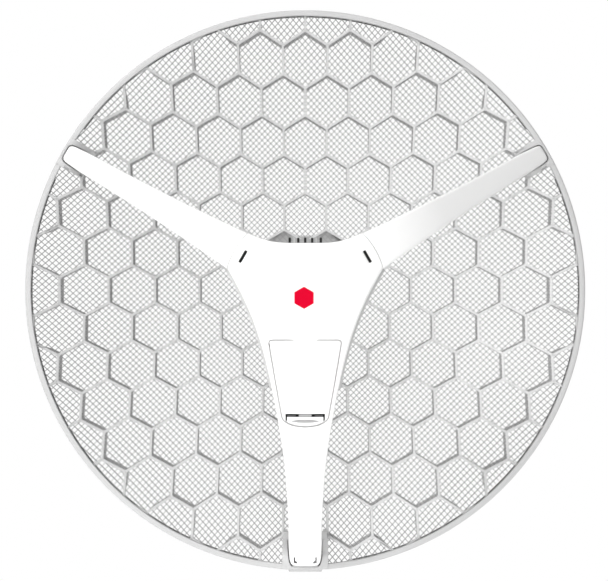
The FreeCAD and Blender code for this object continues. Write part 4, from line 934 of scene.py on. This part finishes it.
# arcs of the painted shade line along the mesh's edge, between the sockets
SHADE_LINE_ARCS = ((-80, 24), (36, 144), (156, 260))
SOCKET_TOP = 94.6
SOCKET_SEAT = 82.2
SOCKET_FLOOR = 78.0
SOCKET_END = 273.6
SOCKET_RAMP = 22.0
ARM_ROOM = [(247.0, 11.2), (262.0, 10.4), (268.8, 9.4), (271.2, 7.6), (272.1, 4.6)]
FOOT_ROOM = [(240.0, 17.9), (250.0, 17.5), (259.5, 17.0), (266.9, 15.8), (270.6, 14.0), (272.0, 10.6)]
FOOT_LIP = [(272.0, -18.5), (277.2, -16.0), (277.2, 16.0), (272.0, 18.5)]


def rim_inside(degrees):
    """Inner radius of the rim, which is thinner behind the tips of the arms."""
    near_tip = 0.5
    for angle, (half, end) in TIP_ROOMS.items():
        across = math.radians((degrees - angle + 180) % 360 - 180)
        if abs(across) < near_tip and abs(end * math.tan(across)) < half:
            return end / math.cos(across)
    return RIM_INNER


def swept(build, profile, turn):
    """Section of a turned form: a profile of (radius, height) at an angle in radians."""
    return build.add([(r * math.cos(turn), r * math.sin(turn), z) for r, z in profile])


def rim(build):
    """Rim turned about the dish's axis: a flange with a soft outer edge and a skirt behind it."""
    top = float(parabola([[RIM, 0]])[0]) + RIM_PROUD
    shelf = top - FLANGE
    bottom = top - RIM_DEPTH
    edge, chamfer, nick = RIM - RIM_BEND, 0.5, 0.15
    quarter = np.linspace(0, math.pi / 2, 5)
    outside = [(edge + RIM_BEND * math.sin(a), top - RIM_BEND + RIM_BEND * math.cos(a)) for a in quarter]
    outside += [(RIM, bottom + chamfer), (RIM - chamfer, bottom), (RIM_SKIRT + SOFT, bottom)]
    outside += [(RIM_SKIRT, bottom + SOFT), (RIM_SKIRT, shelf)]
    rings = []
    for i in range(RIM_SECTIONS):
        inner = rim_inside(360 * i / RIM_SECTIONS)
        profile = [(inner, top - chamfer), (inner + nick, top - nick), (inner + chamfer, top)]
        profile += [*outside, (inner + SOFT, shelf), (inner, shelf + SOFT)]
        rings.append(swept(build, profile, 2 * math.pi * i / RIM_SECTIONS))
    for i, ring in enumerate(rings):
        build.bridge(rings[i - 1], ring)


def mesh_edge():
    """Near-black ring along the mesh's edge, under the rim's flange, in three arcs between the sockets:
    painted shade of the gap between the flange and the mesh.
    """
    height = float(parabola([[RIM_INNER, 0]])[0])
    inner, outer, top, bottom = RIM_INNER - 0.2, RIM_INNER + 1.0, height - 0.6, height - 1.4
    profile = [(inner, top), (outer, top), (outer, bottom), (inner, bottom)]
    step = 360 / RIM_SECTIONS
    build = Build()
    for start, end in SHADE_LINE_ARCS:
        sections = [swept(build, profile, math.radians(turn)) for turn in np.arange(start, end + step, step)]
        build.bridge_all(sections)
        build.faces += [tuple(reversed(sections[0])), tuple(sections[-1])]
    # the near-black here is painted shade of the gap under the rim's flange
    build.piece("mesh_edge", "reflector", "painted_shade_black")


def block(build, corners, angle, top, bottom, radius):
    """Block between two surfaces on a polygon drawn along +x and turned to an angle."""
    points = turned(closed(corners), angle)
    slab(build, all_rounded(points), [], top, bottom, radius)


def socket(build, angle, start, half, room):
    """Floor and a wall that follows an arm's tip; room holds one side of the wall's inner edge."""
    thick = 3.0

    def rising(points):
        share = np.clip((np.linalg.norm(points, axis=-1) - start) / SOCKET_RAMP, 0, 1)
        return rib_front(points) * (1 - share) + SOCKET_TOP * share

    def under(points):
        return np.minimum(rising(points) - thick, SOCKET_FLOOR)

    wall = strip(start, SOCKET_END, half) + room + [(x, -y) for x, y in reversed(room)]
    block(build, wall, angle, rising, under, radius=0.5)
    floor = strip(start, room[-1][0] + 0.3, half - 1.0)
    block(build, floor, angle, level(SOCKET_SEAT), level(SOCKET_FLOOR - 0.6), radius=0.3)


def grid_rim():
    """Rim with the three sockets, the lip below the foot's socket and the tab of the hub."""
    build = Build()
    rim(build)
    for angle in (30, 150):
        socket(build, angle, start=247.0, half=15.0, room=ARM_ROOM)
    socket(build, -90, start=240.0, half=22.5, room=FOOT_ROOM)
    block(build, FOOT_LIP, -90, top=level(91.5), bottom=level(78.8), radius=1.2)
    tab = rounded_box(wide=24.8, high=24.0, radius=0.8, y=46.4)
    level_plate(build, tab, top=4.4, back=0.5, radius=0.4)
    # the rim's darker copy of reflector_plastic is painted shade
    build.piece("grid_rim", "reflector", "rim_painted_shade", crease=35)


def hub_plates():
    """Plates in the six outer cells of the hub and on its tab, darker grey as painted shade of the recess
    under the housing.
    """
    build = Build()
    for side in range(6):
        petal = hexagon(polar(PITCH, 60 * side), PITCH - RIB - 0.4, FILLET)
        level_plate(build, petal, top=PLATE + 0.1, back=PLATE - 0.4, radius=0.05)
    tab_plate = rounded_box(wide=22.2, high=20.0, radius=0.6, y=47.0)
    level_plate(build, tab_plate, top=4.5, back=4.0, radius=0.05)
    # darker grey plates: painted shade of the recess under the housing
    build.piece("hub_plates", "reflector", "painted_shade_grey")


def hub_ticks():
    """Five plain ticks on the tab of the hub."""
    build = Build()
    for x in (-16.6, -7.4, 0.0, 7.4, 16.6):
        tick = rounded_box(wide=2.5, high=5.6, radius=0.7, x=x, y=53.4)
        level_plate(build, tick, top=4.7, back=4.3, radius=0.1)
    build.piece("hub_ticks", "reflector", "port_plastic")


# ---- wire mesh -----------------------------------------------------------------------------

MESH_PITCH = 4.24
MESH_RADIUS = RIM - 4.0
MESH_HOLE = 52.0  # the hub fills the middle
MESH_STEP = 12.0  # length of a wire's straight sections
MESH_SINK = 0.2  # the crossings lie this far under the parabola
WIRE = 0.64


def wire_mesh(name, degrees, lift):
    """All wires of one direction: square wires that follow the parabola at equal spacing."""
    turn = math.radians(degrees)
    half = WIRE / 2
    sides = np.array([(-half, -half), (half, -half), (half, half), (-half, half)])
    along = np.array((math.cos(turn), math.sin(turn)))
    across = np.array((-along[1], along[0]))
    build = Build()
    count = int(MESH_RADIUS / MESH_PITCH)
    for index in range(-count, count + 1):
        offset = (index + 0.5) * MESH_PITCH
        if abs(offset) >= MESH_RADIUS:
            continue
        reach = math.sqrt(MESH_RADIUS**2 - offset**2)
        spans = [(-reach, reach)]
        if abs(offset) < MESH_HOLE:
            gap = math.sqrt(MESH_HOLE**2 - offset**2)
            spans = [(-reach, -gap), (gap, reach)]
        for start, stop in spans:
            sections = max(2, math.ceil((stop - start) / MESH_STEP) + 1)
            rings = []
            for place in np.linspace(start, stop, sections):
                flat = along * place + across * (offset + sides[:, :1])
                heights = parabola(flat) + lift + sides[:, 1]
                rings.append(build.add(np.column_stack((flat, heights))))
            build.bridge_all(rings)
            build.faces += [tuple(rings[0][::-1]), tuple(rings[-1])]
    return build.piece(name, "reflector", "mesh_wire", crease=30)


# ---- stage ---------------------------------------------------------------------------------

SKY = 0.25  # strength of the sky as a light; the camera sees it at full white


def stage():
    """Pale floor that curves up into a backdrop, both far larger than the object."""
    material, nodes, links, shader = new_material("studio_white")
    shader.inputs["Base Color"].default_value = (0.9, 0.9, 0.9, 1)
    shader.inputs["Roughness"].default_value = 0.9
    glow = nodes.new("ShaderNodeEmission")
    seen = nodes.new("ShaderNodeLightPath")
    mix = nodes.new("ShaderNodeMixShader")
    links.new(seen.outputs["Is Camera Ray"], mix.inputs["Fac"])
    links.new(shader.outputs["BSDF"], mix.inputs[1])
    links.new(glow.outputs["Emission"], mix.inputs[2])
    links.new(mix.outputs["Shader"], nodes["Material Output"].inputs["Surface"])
    floor_height = cad_bounds[0][2] - 0.12
    half_width, near, depth = 6.0, -4.0, 2.6
    bend, tall, steps = 1.2, 6.0, 24
    profile = [(near, floor_height), (depth, floor_height)]
    for step in range(1, steps + 1):
        angle = math.radians(90 * step / steps)
        profile.append((depth + bend * math.sin(angle), floor_height + bend * (1 - math.cos(angle))))
    profile.append((depth + bend, floor_height + tall))
    mesh = bpy.data.meshes.new("studio_floor")
    vertices = [(side, y, z) for y, z in profile for side in (-half_width, half_width)]
    faces = [(2 * i, 2 * i + 1, 2 * i + 3, 2 * i + 2) for i in range(len(profile) - 1)]
    mesh.from_pydata(vertices, [], faces)
    mesh.shade_smooth()
    mesh.materials.append(material)
    floor = bpy.data.objects.new("studio_floor", mesh)
    bpy.context.scene.collection.objects.link(floor)


def area_light(name, place, target, size, power):
    """Square lamp that faces a target."""
    light = bpy.data.lights.new(name, "AREA")
    light.shape = "SQUARE"
    light.size = size
    light.energy = power
    lamp = bpy.data.objects.new(name, light)
    lamp.location = place
    lamp.rotation_euler = (Vector(target) - Vector(place)).to_track_quat("-Z", "Y").to_euler()
    bpy.context.scene.collection.objects.link(lamp)
    return lamp


def sky():
    """World that lights the object softly and looks full white to the camera."""
    world = bpy.data.worlds.new("studio_sky")
    bpy.context.scene.world = world
    world.use_nodes = True
    nodes = world.node_tree.nodes
    background = nodes["Background"]
    background.inputs["Color"].default_value = (1, 1, 1, 1)
    seen = nodes.new("ShaderNodeLightPath")
    strength = nodes.new("ShaderNodeMath")
    strength.operation = "MULTIPLY_ADD"
    strength.inputs[1].default_value = 1 - SKY
    strength.inputs[2].default_value = SKY
    world.node_tree.links.new(seen.outputs["Is Camera Ray"], strength.inputs[0])
    world.node_tree.links.new(strength.outputs["Value"], background.inputs["Strength"])


def lights():
    """Large front light, key from the upper left, weak fills from above and below."""
    under_floor = cad_bounds[0][2] - 0.1
    area_light("front", place=(-0.25, -2.6, 0.3), target=(0, -0.1, 0), size=2.4, power=51)
    area_light("key", place=(-1.9, -1.3, 1.5), target=(0, -0.1, 0), size=0.9, power=38)
    area_light("above", place=(0, -0.25, 1.5), target=(0, -0.15, 0), size=0.7, power=5)
    below = area_light("below", place=(0, -0.3, under_floor), target=(0, -0.3, 1), size=1.1, power=2.6)
    below.visible_camera = False


def camera():
    """Looks straight along the dish's axis."""
    away = 1111 * MM  # from the vertex plane to the eye
    data = bpy.data.cameras.new("camera")
    data.sensor_width = 36.0
    data.lens = 61.4
    data.shift_x = -0.002
    data.shift_y = -0.0005
    eye = bpy.data.objects.new("camera", data)
    eye.location = (0, -VERTEX * MM - away, 0)
    eye.rotation_euler = (math.radians(90), 0, 0)
    bpy.context.scene.collection.objects.link(eye)
    bpy.context.scene.camera = eye


# ---- build ---------------------------------------------------------------------------------

bpy.context.scene.view_settings.view_transform = "Standard"
dress_frame()
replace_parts(wire_mesh("wires_rising", 45, -WIRE / 2 - MESH_SINK), "reflector_mesh")
wire_mesh("wires_falling", 135, WIRE / 2 - MESH_SINK)
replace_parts(lattice().piece("grid_ribs", "reflector", "reflector_plastic", crease=30), "reflector_frame")
grid_rim()
hub_plates()
mesh_edge()
feed_front_cover()
feed_back_cover()
upper_arm("upper_left_arm", 150)
upper_arm("upper_right_arm", 30)
service_door()
latch_bed()
latch_rocker()
latch_shelf()
latch_painted_shade()
red_mark()
hub_ticks()
stage()
sky()
lights()
camera()
